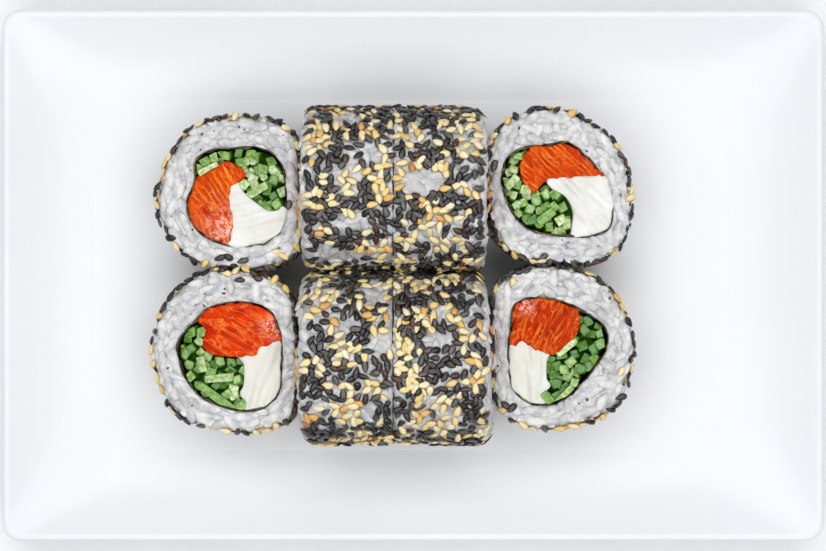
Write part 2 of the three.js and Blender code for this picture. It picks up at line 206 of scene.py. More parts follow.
def spread(points, distance):
    """Indices of points kept so that no two are nearer than distance. Earlier ones win."""
    distance = np.broadcast_to(distance, len(points))
    kept = np.empty((len(points), points.shape[1]))
    indices = []
    for index, point in enumerate(points):
        count = len(indices)
        gap = ((kept[:count] - point) ** 2).sum(axis=1)
        if count == 0 or gap.min() >= distance[index] ** 2:
            kept[count] = point
            indices.append(index)
    return np.array(indices, dtype=int)


# ---- Loops in a section ----

CORNER_SIGNS = np.array([[1, 1], [-1, 1], [-1, -1], [1, -1]])


def curve(before, start, end, beyond, share):
    """The smooth curve from start to end, at a share of the way."""
    return 0.5 * (2 * start + (end - before) * share
                  + (2 * before - 5 * start + 4 * end - beyond) * share ** 2
                  + (3 * start - before - 3 * end + beyond) * share ** 3)


def smooth_loop(corners, spacing):
    """A closed smooth curve through corner points, with points about spacing apart."""
    around = [np.roll(corners, step, axis=0)[:, None] for step in (1, 0, -1, -2)]
    shares = np.linspace(0, 1, 12, endpoint=False)[None, :, None]
    return even_loop(curve(*around, shares).reshape(-1, 2), spacing)


def even_loop(points, spacing=None, count=None):
    """A closed polyline with its points spaced evenly along it."""
    closed = np.vstack([points, points[:1]])
    along = np.concatenate([[0], np.cumsum(np.linalg.norm(np.diff(closed, axis=0), axis=1))])
    count = count or max(8, round(along[-1] / spacing))
    stops = np.linspace(0, along[-1], count, endpoint=False)
    return np.column_stack([np.interp(stops, along, closed[:, axis]) for axis in range(2)])


def outward(loop):
    """Unit vectors that point out of a counter-clockwise loop."""
    along = np.roll(loop, -1, axis=0) - np.roll(loop, 1, axis=0)
    return unit(np.column_stack([along[:, 1], -along[:, 0]]))


def grown(loop, distance):
    """A loop moved outward by one distance, or by a distance for each of its points."""
    return loop + np.reshape(distance, (-1, 1)) * outward(loop)


def loop_area(loop):
    x, y = loop[:, 0], loop[:, 1]
    return 0.5 * np.sum(x * np.roll(y, -1) - np.roll(x, -1) * y)


def is_inside(points, loop):
    """Which points lie inside a closed loop."""
    x, y = points[:, 0][:, None], points[:, 1][:, None]
    ax, ay = loop[:, 0], loop[:, 1]
    bx, by = np.roll(ax, -1), np.roll(ay, -1)
    spans = (ay > y) != (by > y)
    run = np.where(by == ay, 1, by - ay)
    crosses = spans & (x < ax + (y - ay) / run * (bx - ax))
    return crosses.sum(axis=1) % 2 == 1


def nearest(points, loop):
    """For each point, the nearest point of a dense loop: its index, and the distance to it."""
    squares = ((points[:, None, :2] - loop[None]) ** 2).sum(axis=2)
    return squares.argmin(axis=1), np.sqrt(squares.min(axis=1))


def edge_distance(points, loop):
    return nearest(points, loop)[1]


def pressed_to(points, loop, keep_inside=True):
    """Points on the wrong side of a dense loop are moved to its nearest point."""
    points = np.array(points)
    stray = is_inside(points, loop) != keep_inside
    points[stray, :2] = loop[nearest(points[stray], loop)[0]]
    return points


def fading(points, x, y, size):
    """1 at a spot, falling softly to 0 over a distance of about size."""
    return np.exp(-(np.hypot(points[:, 0] - x, points[:, 1] - y) / size) ** 2)


def axes_along(heading):
    """Unit vectors along a heading and square to it."""
    cos, sin = math.cos(heading), math.sin(heading)
    return np.array([[cos, sin], [-sin, cos]])


# ---- Points and faces ----

def unit(vectors):
    return vectors / np.linalg.norm(vectors, axis=1)[:, None]


def at_level(points, level):
    """Points with one more coordinate, the same for all or one for each."""
    return np.column_stack([points, np.broadcast_to(level, len(points))])


def ring_faces(rings, is_closed=False, is_flipped=False):
    """Quads between rings of point indices. is_closed joins the last ring to the first."""
    rings = np.asarray(rings)
    beyond = np.roll(rings, -1, axis=0)
    corners = [rings, np.roll(rings, -1, axis=1), np.roll(beyond, -1, axis=1), beyond]
    if is_flipped:
        corners[1:] = corners[:0:-1]
    faces = np.stack(corners, axis=-1)
    return (faces if is_closed else faces[:-1]).reshape(-1, 4)


def joined(parts):
    """Several pairs of points and faces as one pair."""
    starts = np.cumsum([0] + [len(points) for points, _ in parts])
    return (np.vstack([points for points, _ in parts]),
            np.vstack([faces + start for (_, faces), start in zip(parts, starts)]))


def repeated(faces, copies, points_each):
    """The faces of one template for each of its copies, whose points follow one another."""
    starts = np.arange(copies) * points_each
    return (faces[None] + starts[:, None, None]).reshape(-1, faces.shape[1])


def add_object(name, data, place=(0, 0, 0)):
    """A new object in the scene, at a place in millimetres."""
    thing = bpy.data.objects.new(name, data)
    thing.location = Vector(place) * MM
    bpy.context.scene.collection.objects.link(thing)
    return thing


def mesh_object(name, points, faces, material, slot, replaced=(), **attributes):
    """A smooth mesh from points in millimetres. Attributes hold a value for each point."""
    mesh = bpy.data.meshes.new(name)
    corners = np.concatenate([np.ravel(group) for group in faces]).astype(np.int32)
    sizes = np.concatenate([np.full(len(group), np.shape(group)[1]) for group in faces])
    starts = np.concatenate([[0], np.cumsum(sizes)[:-1]]).astype(np.int32)
    mesh.vertices.add(len(points))
    mesh.vertices.foreach_set("co", (np.asarray(points) * MM).astype(np.float32).ravel())
    mesh.loops.add(len(corners))
    mesh.loops.foreach_set("vertex_index", corners)
    mesh.polygons.add(len(starts))
    mesh.polygons.foreach_set("loop_start", starts)
    mesh.polygons.foreach_set("use_smooth", np.ones(len(starts), dtype=bool))
    for key, values in attributes.items():
        layer = mesh.attributes.new(key, "FLOAT", "POINT")
        layer.data.foreach_set("value", np.asarray(values, dtype=np.float32))
    mesh.update(calc_edges=True)
    mesh.validate()
    mesh.materials.append(material)
    piece = add_object(name, mesh)
    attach(piece, "root")
    if replaced:
        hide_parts(*replaced)


# ---- Slices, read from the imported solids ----

class Slice:
    """A slice's place. Its section is seen along the roll, and w runs along the roll.

    A standing slice's section lies in the frame's X and Y, and w runs up.
    A lying slice's section lies in the frame's Y and Z, and w runs along X.
    """

    def __init__(self, name):
        self.name = name
        self.seed = sum(name.encode())
        self.lying = "mid" in name
        self.has_high_seam = name.endswith("midleft")
        self.has_low_seam = name.endswith("midright")
        self.axis = 0 if self.lying else 2
        self.plane = [1, 2] if self.lying else [0, 1]
        self.outline = grown(smooth_loop(self.end_loops("rice")[0], LOOP_SPACING), EDGE_BEVEL)
        self.nori = smooth_loop(self.end_loops("nori")[0], LOOP_SPACING)
        self.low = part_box(f"rice_{name}")[0][self.axis] / MM
        self.middle = self.outline[:, 0].mean()
        self.thickness = STANDING_HEIGHT
        self.lean = 0.0
        if self.lying:
            nori_inset = 0.3
            self.lean, far_end = self.far_face()
            self.thickness = far_end - self.low + nori_inset

    def corners(self, kind):
        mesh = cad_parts[f"{kind}_{self.name}"].data
        points = np.zeros(len(mesh.vertices) * 3)
        mesh.vertices.foreach_get("co", points)
        return points.reshape(-1, 3) / MM

    def end_loops(self, kind):
        """The outlines of a piece's lower end face, largest first, counter-clockwise."""
        points = self.corners(kind)
        floor = points[:, self.axis].min()
        keys = [tuple(p) for p in np.round(points[:, self.plane], 3)]
        edges = {}
        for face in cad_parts[f"{kind}_{self.name}"].data.polygons:
            ids = list(face.vertices)
            if all(abs(points[i, self.axis] - floor) < END_FACE_DEPTH for i in ids):
                for a, b in zip(ids, ids[1:] + ids[:1]):
                    if not edges.pop((keys[b], keys[a]), False):
                        edges[keys[a], keys[b]] = True
        follow = {a: b for a, b in edges}
        loops = []
        while follow:
            start, here = next(iter(follow.items()))
            loop = [start]
            del follow[start]
            while here != start:
                loop.append(here)
                here = follow.pop(here)
            loop = np.array(loop)
            loops.append(loop if loop_area(loop) > 0 else loop[::-1])
        return sorted(loops, key=loop_area, reverse=True)

    def far_face(self):
        """How much the far cut face moves out for each millimetre across, and its middle."""
        points = self.corners("nori")
        far = points[points[:, self.axis] > points[:, self.axis].mean()]
        return np.polyfit(far[:, self.plane[0]] - self.middle, far[:, self.axis], 1)

    def from_free_end(self, w):
        """Distance from the end where a lying slice has no neighbour."""
        return w if self.has_high_seam else self.thickness - w

    def drawn_in(self, points):
        """Section coordinates, moved in where the edge of a lying slice's free end is round."""
        nearness = np.clip(1 - self.from_free_end(points[:, 2]) / END_REACH, 0, 1.3)
        depth = END_ROUNDING * nearness ** 2
        away = points[:, :2] - self.outline.mean(axis=0)
        distance = np.linalg.norm(away, axis=1)
        share = (distance / ROLL_RADIUS) ** 4
        return points[:, :2] - away * (depth * share / np.maximum(distance, 1))[:, None]

    def world(self, points):
        """Section coordinates and w as points in the model's frame."""
        slant = self.lean * (points[:, 0] - self.middle) / self.thickness
        along = self.low + points[:, 2] * (1 + slant)
        if self.lying:
            return np.column_stack([along, self.drawn_in(points)])
        return np.column_stack([points[:, :2], along])

    def add(self, label, kind, points, faces, material, **attributes):
        """A finer piece in place of this slice's solid of a kind."""
        mesh_object(f"{label}_{self.name}", points, faces, material, kind,
                    [f"{kind}_{self.name}"], **attributes)


slices = {name: Slice(name) for name in SLICES}


# ---- Grains and seeds ----

def spindle(profile, segments, rings):
    """A closed spindle along X from -0.5 to 0.5 whose radius is profile(0 to 1)."""
    t = 0.5 - 0.5 * np.cos(np.linspace(0, math.pi, rings + 2))
    angle = np.linspace(0, 2 * math.pi, segments, endpoint=False)
    radius = profile(t)
    points = [[t[0] - 0.5, 0, 0]]
    for step in range(1, rings + 1):
        for a in angle:
            points.append([t[step] - 0.5, radius[step] * math.cos(a), radius[step] * math.sin(a)])
    points.append([t[-1] - 0.5, 0, 0])
    last = len(points) - 1
    faces = []
    for step in range(segments):
        following = (step + 1) % segments
        faces.append([0, 1 + following, 1 + step])
        base = 1 + (rings - 1) * segments
        faces.append([last, base + step, base + following])
        for ring in range(rings - 1):
            a = 1 + ring * segments + step
            b = 1 + ring * segments + following
            faces.append([a, b, b + segments])
            faces.append([a, b + segments, a + segments])
    return np.array(points), np.array(faces)


def grain_profile(t):
    """Blunt ends, as on a short rice grain. The widest radius is 0.5."""
    return 0.5 * np.clip(4 * t * (1 - t), 0, None) ** 0.42


def seed_profile(t):
    """A sesame seed: pointed at one end and round at the other."""
    widest = 0.42
    return 0.5 * t ** 0.8 * np.clip(1 - t, 0, None) ** 0.5 / widest


GRAIN = spindle(grain_profile, 8, 5)
SEED = spindle(seed_profile, 6, 4)


def seed_rim():
    """1 along the sharp edge of a lying seed and at its ends, 0 in the middle of its face. The seed
    materials use it to paint shade at the edge.
    """
    points = SEED[0]
    radius = np.hypot(points[:, 1], points[:, 2])
    return np.where(radius > 0, np.abs(points[:, 1]) / np.maximum(radius, 1e-9), 1)


def stamp(template, centres, along, normals, sizes, lift, press=1.0, bend=None):
    """Copies of a template joined into one set of points and faces.

    Each copy is scaled to its sizes, raised by lift along its normal, and what then stands
    above its resting surface is pressed down to a fraction of its height.
    """
    points, faces = template
    local = points[None, :, :] * sizes[:, None, :]
    if bend is not None:
        local[:, :, 1] += bend[:, None] * (points[None, :, 0] ** 2 * 4 - 0.5)
    height = local[:, :, 2] + np.broadcast_to(lift, len(centres))[:, None]
    height = np.where(height > 0, height * press, height)
    side = np.cross(normals, along)
    placed = (centres[:, None, :] + local[:, :, :1] * along[:, None, :]
              + local[:, :, 1:2] * side[:, None, :] + height[:, :, None] * normals[:, None, :])
    return placed.reshape(-1, 3), repeated(faces, len(centres), len(points))


def tilted_frames(normals, tangents, heading, tilt, rng):
    """Directions for scattered pieces: a heading on the surface, and a small random tilt."""
    side = np.cross(normals, tangents)
    along = tangents * np.cos(heading)[:, None] + side * np.sin(heading)[:, None]
    up = unit(normals + rng.normal(scale=tilt, size=normals.shape))
    along = unit(along - up * (along * up).sum(axis=1)[:, None])
    return along, up


def face_frames(count, facing=1.0):
    """Normals of a cut face, and a direction along it."""
    return np.tile([0.0, 0.0, facing], (count, 1)), np.tile([1.0, 0.0, 0.0], (count, 1))


def face_points(piece, count, from_edge, from_nori, rng):
    """Random places on the rice of a cut face, some way from its outer edge and the nori."""
    low, high = piece.outline.min(axis=0), piece.outline.max(axis=0)
    tries = rng.uniform(low, high, size=(count, 2))
    on_rice = is_inside(tries, piece.outline) & ~is_inside(tries, piece.nori)
    on_rice &= edge_distance(tries, piece.outline) > from_edge
    return tries[on_rice & (edge_distance(tries, piece.nori) > from_nori)]


def wall_frames(normal):
    """Surface normals on the rolled side, and the directions that run round the roll."""
    return at_level(normal, 0), np.column_stack([-normal[:, 1], normal[:, 0], 0 * normal[:, 0]])


def wall_points(piece, count, rng, margin):
    """Random places on a slice's rolled side, some way from its ends, and their normals."""
    spots = rng.integers(len(piece.outline), size=count)
    shift = rng.uniform(size=count)[:, None]
    start = piece.outline[spots]
    end = piece.outline[(spots + 1) % len(piece.outline)]
    w = rng.uniform(margin, piece.thickness - margin, size=count)
    return at_level(start + (end - start) * shift, w), outward(piece.outline)[spots]


# ---- Rice ----

CORE_COUNT = 220  # points round the mass of rice
CORE_INSET = 0.5  # how far its wall lies under the rolled side, where grains cover it
CORE_DEPTH = 0.65  # how far its ends lie under the cut faces
GRAIN_LAYERS = ((2.5, 1.25), (2.8, 0.6))  # at a cut face: spacing of the grains, and depth
GRAIN_DEPTH = 0.12  # how far the grains' cut level lies inside a slice's end
FACE_TRIES = 9000
FACE_MARGINS = (1.5, 1.0)  # of the grains at a cut face, from its edge and from the nori
ALONG_NORI = 2.6  # grains nearer the nori than this run along it
ALONG_EDGE = 3.4  # and so do grains nearer the outer edge than this
FACE_PRESS = 0.35  # what is left of a grain's height above the cut face
WALL_TRIES = 2600
WALL_SPACING = 2.75  # of the grains on the rolled side
WALL_DEPTHS = (0.55, 0.95)
WALL_PRESS = 0.2
LYING_BRIGHTNESS = 0.35  # of the rice under the seeds, where less light comes
PRESSED_DEPTH = 0.6  # how far rice as high as SEED_CEILING is pressed down


def core_rings(piece):
    """Share of the way from the rolled side to the nori, and w, once round the section."""
    top = piece.thickness - (SEAM_REACH if piece.has_high_seam else CORE_DEPTH)
    bottom = 0.05
    if piece.lying:
        bottom = SEAM_REACH if piece.has_low_seam else CORE_DEPTH
    rings = []
    for share in np.linspace(0, 1, 12):
        narrowing = max(0, abs(2 * share - 1) - 0.85) / 0.15
        rings.append((narrowing / 16, bottom + (top - bottom) * share))
    rings += [(blend, top) for blend in np.linspace(0.12, 0.97, 8)]
    rings += [(1, bottom + (top - bottom) * share) for share in np.linspace(1, 0, 6)]
    return rings + [(blend, bottom) for blend in np.linspace(0.85, 0.15, 5)]


def rice_core(piece):
    """The closed mass of rice under the grains: a ring with relief on its wall and faces."""
    outer = grown(even_loop(piece.outline, count=CORE_COUNT), -CORE_INSET)
    hole = even_loop(piece.nori, count=CORE_COUNT)
    start = nearest(outer[:1], hole)[0][0]
    hole = grown(np.roll(hole, -start, axis=0), 0.02)
    rings = core_rings(piece)
    points = np.vstack([at_level(outer * (1 - blend) + hole * blend, w) for blend, w in rings])
    blends = np.repeat([blend for blend, _ in rings], CORE_COUNT)
    relief = 0.4 * smooth_noise(points, 2.2, piece.seed)
    relief += 0.2 * smooth_noise(points, 5, piece.seed + 1)
    is_wall = blends < 0.1
    radial = unit(points[:, :2] - outer.mean(axis=0))
    points[:, :2] += np.where(is_wall, relief * 0.6, 0)[:, None] * radial
    rises = np.where(is_wall | (blends == 1), 0, relief)
    is_high = points[:, 2] > piece.thickness / 2
    if piece.has_high_seam:
        rises[is_high] = 0
    if piece.has_low_seam or not piece.lying:
        rises[~is_high] = 0
    points[:, 2] += np.where(is_high, rises, -rises)
    return points, ring_faces(np.arange(len(points)).reshape(-1, CORE_COUNT), is_closed=True)


def grain_sizes(count, rng):
    scale = rng.uniform(0.86, 1.1, size=(count, 1))
    return scale * varied(GRAIN_SIZE, GRAIN_SHARES, count, rng)


def face_grains(piece, w, facing, rng):
    """Grains that show at a cut face, pressed level with it by the knife."""
    candidates = face_points(piece, FACE_TRIES, *FACE_MARGINS, rng)
    layers = []
    for spacing, depth in GRAIN_LAYERS:
        shuffled = rng.permutation(candidates)
        layers.append(at_level(shuffled[spread(shuffled, spacing)], depth))
    spots = np.vstack(layers)
    count = len(spots)
    # Grains beside the nori or the outer edge run along it.
    nori_point, from_nori = nearest(spots, piece.nori)
    edge_point, from_edge = nearest(spots, piece.outline)
    beside_nori = from_nori < ALONG_NORI
    guide = np.where(beside_nori[:, None], outward(piece.nori)[nori_point],
                     outward(piece.outline)[edge_point])
    is_loose = ~beside_nori & (from_edge >= ALONG_EDGE)
    heading = np.arctan2(guide[:, 0], -guide[:, 1]) + rng.normal(scale=0.3, size=count)
    heading = np.where(is_loose, any_heading(rng, count), heading)
    along, up = tilted_frames(*face_frames(count, facing), heading * facing, 0.16, rng)
    points, faces = stamp(GRAIN, at_level(spots[:, :2], w), along, up, grain_sizes(count, rng),
                          lift=-spots[:, 2], press=FACE_PRESS,
                          bend=rng.uniform(-GRAIN_BEND, GRAIN_BEND, size=count))
    overlap = np.clip(0.12 + 0.42 * smooth_noise(piece.nori, 3.2, piece.seed + 15), -0.08, 0.7)
    return pressed_to(points, grown(piece.nori, -overlap), keep_inside=False), faces


def wall_grains(piece, rng):
    """Grains on the rolled side, pressed nearly flat by the rolling mat."""
    places, normal = wall_points(piece, WALL_TRIES, rng, margin=1.6)
    chosen = spread(places, WALL_SPACING)
    count = len(chosen)
    along, up = tilted_frames(*wall_frames(normal[chosen]), any_heading(rng, count), 0.06, rng)
    sizes = grain_sizes(count, rng)
    depth = rng.uniform(*WALL_DEPTHS, size=count)
    points, faces = stamp(GRAIN, places[chosen], along, up, sizes, lift=-depth,
                          press=WALL_PRESS,
                          bend=rng.uniform(-GRAIN_BEND, GRAIN_BEND, size=count))
    low = -SEAM_REACH if piece.has_low_seam else 0.2
    high = piece.thickness + (SEAM_REACH if piece.has_high_seam else -0.15)
    points[:, 2] = np.clip(points[:, 2], low, high)
    return points, faces


def build_rice(piece, material):
    rng = random_for("rice", piece.name)
    core, quads = rice_core(piece)
    parts = [wall_grains(piece, rng)]
    parts.append(face_grains(piece, piece.thickness - GRAIN_DEPTH, 1.0, rng))
    if piece.lying:
        parts.append(face_grains(piece, GRAIN_DEPTH, -1.0, rng))
    # Painted shade: on the lying slices the rice core and the grains of the rolled side get a
    # darker tone, where the seeds shade the rice.
    wall_brightness = LYING_BRIGHTNESS if piece.lying else 1.0
    per_grain = len(GRAIN[0])
    tones = [np.full(len(core), 0.08 if piece.lying else 0.35)]
    for (points, _), brightness in zip(parts, (wall_brightness, 1.0, 1.0)):
        tone = brightness * rng.uniform(0.2, 1.0, size=len(points) // per_grain)
        tones.append(np.repeat(tone, per_grain))
    grains, triangles = joined(parts)
    placed = piece.world(np.vstack([core, grains]))
    placed[:, 2] -= np.maximum(placed[:, 2] - SEED_CEILING + 2 * PRESSED_DEPTH, 0) / 2
    piece.add("rice_mass", "rice", placed, [quads, triangles + len(core)], material,
              tone=np.concatenate(tones))


# ---- Sesame seeds ----

TOP_FACE_HEIGHT = 22  # bare patches are higher than this above the plate's well
PLATE_CLEARANCE = 1.2  # no seeds nearer the plate than this
SEED_SPACINGS = ([1.55, 1.9, 2.4], [0.4, 0.35, 0.25])  # and how often each is taken
RIM_SPACINGS = [2.1, 2.9, 4.4]
SEED_TRIES = 9000
RIM_TRIES = 1500
CRUMB_TRIES = 40
CRUMB_SHARES = (0.14, 0.32)  # of a whole seed's size
OVERLAP_DISTANCE = 2.3  # seeds nearer than this lie on one another
LAYER_HEIGHT = 0.4
GOLDEN_THRESHOLD = 0.36  # a seed whose random value is above this is golden
GOLDEN_WIDTH = 1.14  # how much wider a golden seed is than a black one


def is_bare(places):
    """Which places on top of the lying slices have no seeds."""
    half_seed = SEED_SIZE[1] / 2
    x, y, width, depth = np.array(BARE_PATCHES).T[:, :, None]
    reach = ((places[:, 0] - x) / (width / 2 + half_seed)) ** 2
    reach += ((places[:, 1] - y) / (depth / 2 + half_seed)) ** 2
    return (reach < 1).any(axis=0) & (places[:, 2] > WELL_TOP + TOP_FACE_HEIGHT)


def wall_seeds(piece, rng):
    """Seeds on a slice's rolled side: places, normals, directions round it and headings."""
    places, normal = wall_points(piece, SEED_TRIES, rng, margin=0.6 if piece.lying else 1.2)
    world = piece.world(places)
    keep = ~is_bare(world) & (world[:, 2] > WELL_TOP + PLATE_CLEARANCE)
    if piece.lying:
        ragged = 1.5 + 0.8 * smooth_noise(places[:, :2], 9, piece.seed + 6)
        keep &= piece.from_free_end(places[:, 2]) > ragged
    places, normal = places[keep], normal[keep]
    spacings, odds = SEED_SPACINGS
    crowding = rng.choice(spacings, p=odds, size=len(places))
    crowding += 0.35 * smooth_noise(places, 9, piece.seed + 5)
    if not piece.lying:
        thinning = 1.1 * smooth_noise(places[:, :2], 8, piece.seed + 7)
        crowding += 0.3 + np.clip(thinning, 0, 2.5)
    chosen = spread(places, crowding)
    return places[chosen], *wall_frames(normal[chosen]), any_heading(rng, len(chosen))


def rim_seeds(piece, rng):
    """Seeds that lie on the rounded upper edge of a standing slice, as in wall_seeds."""
    places, normal = wall_points(piece, RIM_TRIES, rng, margin=0)
    spots = places[:, :2]
    chosen = spread(spots, rng.choice(RIM_SPACINGS, size=len(spots)))
    count = len(chosen)
    normals, tangents = wall_frames(normal[chosen])
    climb = rng.uniform(0.35, 1.05, size=count)[:, None]
    drop = rng.uniform(0.25, 0.9, size=count)
    normals = normals * np.cos(climb) + face_frames(count)[0] * np.sin(climb)
    places = at_level(spots[chosen], piece.thickness - drop)
    return places, normals, tangents, rng.normal(scale=0.7, size=count)


def seed_layers(places):
    """How many layers of other seeds each seed lies on, 0 to 2. Earlier seeds lie lower."""
    layers = np.zeros(len(places), dtype=int)
    for index in range(1, len(places)):
        below = np.linalg.norm(places[:index] - places[index], axis=1) < OVERLAP_DISTANCE
        if below.any():
            layers[index] = min(2, layers[:index][below].max() + 1)
    return layers


def seed_sizes(count, rng):
    return varied(SEED_SIZE, SEED_SHARES, count, rng)


def coat(piece):
    """A slice's coat of seeds, as (colour, points, faces, tones) for each colour."""
    rng = random_for("seeds", piece.name)
    found = [wall_seeds(piece, rng)]
    if not piece.lying:
        found.append(rim_seeds(piece, rng))
    places, normals, tangents, heading = (np.concatenate(kind) for kind in zip(*found))
    count = len(places)
    along, up = tilted_frames(normals, tangents, heading, 0.14, rng)
    clusters = smooth_noise(places, 5, piece.seed + 9)
    is_golden = clusters + rng.normal(scale=1.0, size=count) > GOLDEN_THRESHOLD
    lift = rng.uniform(0, 0.16, size=count) + LAYER_HEIGHT * seed_layers(places)
    lift = np.minimum(lift, SEED_CEILING - piece.world(places)[:, 2])
    sizes = seed_sizes(count, rng)
    sizes[is_golden, 1] *= GOLDEN_WIDTH
    tone = rng.uniform(size=count)
    groups = []
    for colour, chosen in (("black", ~is_golden), ("golden", is_golden)):
        points, faces = stamp(SEED, places[chosen], along[chosen], up[chosen], sizes[chosen],
                              lift=lift[chosen])
        groups.append((colour, piece.world(points), faces, tone[chosen]))
    return groups


def crumbs(piece, rng):
    """Broken bits of black seed that stick to the rice of a cut face."""
    centres = at_level(face_points(piece, CRUMB_TRIES, 1, 0.6, rng), piece.thickness)
    count = len(centres)
    along, up = tilted_frames(*face_frames(count), any_heading(rng, count), 0.3, rng)
    sizes = seed_sizes(count, rng) * rng.uniform(*CRUMB_SHARES, size=(count, 1))
    points, faces = stamp(SEED, centres, along, up, sizes, lift=0.05)
    return "black", piece.world(points), faces, rng.uniform(size=count)


def stray_seed(x, y, colour, heading, rng):
    """One seed that lies on a standing slice's cut face."""
    centre = np.array([[x, y, WELL_TOP + STANDING_HEIGHT + 0.3]])
    along, up = tilted_frames(*face_frames(1), np.radians([heading]), 0.12, rng)
    points, faces = stamp(SEED, centre, along, up, seed_sizes(1, rng), lift=0.1)
    return colour, points, faces, rng.uniform(size=1)


def build_seeds(materials):
    """All seeds: one piece of black ones and one of golden ones."""
    groups = [group for piece in slices.values() for group in coat(piece)]
    rng = random_for("seed", "crumbs")
    groups += [crumbs(piece, rng) for piece in slices.values() if not piece.lying]
    rng = random_for("stray", "seeds")
    groups += [stray_seed(*row, rng) for row in STRAY_SEEDS]
    for colour, material in materials.items():
        chosen = [group[1:] for group in groups if group[0] == colour]
        points, faces = joined([(points, faces) for points, faces, _ in chosen])
        points[:, 2] = np.minimum(points[:, 2], CEILING)
        tones = np.concatenate([tone for _, _, tone in chosen])
        mesh_object(f"sesame_{colour}", points, [faces], material, "rice",
                    tone=np.repeat(tones, len(SEED[0])), rim=np.tile(seed_rim(), len(tones)))


# ---- Nori ----

NORI_BASE = 0.3
NORI_DROP = 0.5  # how far below the cut face the nori ends
SMEAR_DROP = 0.9  # how much further where cream cheese is smeared over it


def build_nori(piece, material):
    """A thin sheet rolled round the filling, with an uneven cut edge at each end."""
    seed = piece.seed + 3
    outer = even_loop(piece.nori, spacing=0.45)
    drift = 0.16 * smooth_noise(outer, 2.2, seed) + 0.08 * smooth_noise(outer, 0.9, seed + 5)
    outer = grown(outer, drift - 0.05)
    thickness = NORI_THICKNESS * np.clip(1 + 0.5 * smooth_noise(outer, 3, seed + 4), 0.35, 2)
    inner = grown(outer, -thickness)
    middle = (outer + inner) / 2
    top = piece.thickness - NORI_DROP + 0.4 * smooth_noise(outer, 3, seed + 1)
    top = top - SMEAR_DROP * smeared(piece, outer)
    bottom = NORI_BASE + 0.1 * smooth_noise(outer, 3, seed + 2)
    heights = [bottom + (top - bottom) * share for share in np.linspace(0, 1, 10)]
    rings = [at_level(outer, height) for height in heights]
    rings.append(at_level(middle, top + 0.1))
    rings += [at_level(inner, height) for height in heights[::-1]]
    rings.append(at_level(middle, bottom - 0.05))
    points = np.vstack(rings)
    faces = ring_faces(np.arange(len(points)).reshape(len(rings), -1), is_closed=True)
    piece.add("nori_sheet", "nori", piece.world(points), [faces], material)


# ---- Salmon and cream cheese ----

EDGE_SOFTNESS = 0.35  # over how far in from its edge a filling is rounded
UNDERSIDE_SHIFT = 40  # gives a lying slice's lower face other relief than its upper one


def filled_loop(loop, spacing):
    """Points and triangles that fill a closed loop. The loop's own points come first."""
    low, high = loop.min(axis=0), loop.max(axis=0)
    row_share, edge_share, tolerance = 0.87, 0.55, 1e-5
    rows = []
    for number, y in enumerate(np.arange(low[1], high[1], spacing * row_share)):
        xs = np.arange(low[0] + (number % 2) * spacing / 2, high[0], spacing)
        rows.append(at_level(xs, y))
    grid = np.vstack(rows)
    grid = grid[is_inside(grid, loop)]
    grid = grid[edge_distance(grid, loop) > spacing * edge_share]
    points = [Vector(p) for p in np.vstack([loop, grid])]
    found = delaunay_2d_cdt(points, [], [list(range(len(loop)))], 1, tolerance)
    return np.array([list(p) for p in found[0]]), np.array(found[2])


def slab(piece, loop, spacing, relief, rounding, low, high):
    """A solid with a section's outline. relief(points) shapes both cut faces."""
    flat, triangles = filled_loop(loop, spacing)
    normals = np.cross(flat[triangles[:, 1]] - flat[triangles[:, 0]],
                       flat[triangles[:, 2]] - flat[triangles[:, 0]])
    if normals.sum() < 0:
        triangles = triangles[:, ::-1]
    count, size = len(loop), len(flat)
    drop = rounding * np.exp(-edge_distance(flat, loop) / EDGE_SOFTNESS)
    top = high + relief(flat) - drop
    bottom = low + drop * 0.5
    if piece.lying:
        bottom = bottom - relief(flat + UNDERSIDE_SHIFT) * 0.6
    lowest, rise = bottom[:count], (top - bottom)[:count]
    walls = [at_level(flat[:count], lowest + rise * share)
             for share in np.linspace(0, 1, 9)[-2:0:-1]]
    points = np.vstack([at_level(flat, top), at_level(flat, bottom), *walls])
    ring = np.arange(count)
    wall_rings = np.arange(2 * size, len(points)).reshape(-1, count)
    quads = ring_faces([ring, *wall_rings, size + ring], is_flipped=True)
    return points, [np.vstack([triangles, triangles[:, ::-1] + size]), quads]


def smeared(piece, points):
    """How far cream cheese is smeared over the nori at each point, 0 to 1."""
    total = np.zeros(len(points))
    for name, *spot in SMEARS:
        if name == piece.name:
            total += fading(points, *spot)
    return np.minimum(total, 1)


def filling_loop(piece, kind):
    """A filling's outline, pressed against the nori and nearly touching its neighbours."""
    loop = smooth_loop(piece.end_loops(kind)[0], LOOP_SPACING)
    reach = 0.42 + 0.2 * smooth_noise(loop, 3, len(kind))
    if kind == "cheese":
        reach = reach + 0.75 * smeared(piece, loop)
    return grown(loop, np.where(edge_distance(loop, piece.nori) < BESIDE_NORI, reach, 0.3))


def dragged(points, heading, share):
    """Points squeezed along a heading, so that noise over them runs in lines that way."""
    along, across = axes_along(heading)
    return np.column_stack([points @ along * share, points @ across])


def build_salmon(piece, material, heading, torn_spot):
    """The fillet's cut end, furrowed along its fat lines and torn at torn_spot."""
    seed = piece.seed + 21
    loop = filling_loop(piece, "salmon")
    loop = grown(loop, 0.16 * smooth_noise(loop, 1.3, seed + 2) - 0.06)

    def relief(points):
        furrows = smooth_noise(dragged(points, heading, 0.35), 1.1, seed + 1)
        tatters = smooth_noise(points, 0.9, seed + 3) * fading(points, *torn_spot)
        return 0.34 * smooth_noise(points, 3.6, seed) + 0.15 * furrows + 0.16 * tatters + 0.05

    points, faces = slab(piece, loop, 0.4, relief, 0.3, FILLING_BASE,
                         piece.thickness - FILLING_DROP)
    piece.add("salmon_fillet", "salmon", piece.world(points), faces, material,
              torn=fading(points, *torn_spot), rim=np.exp(-edge_distance(points, piece.nori) / 0.9))


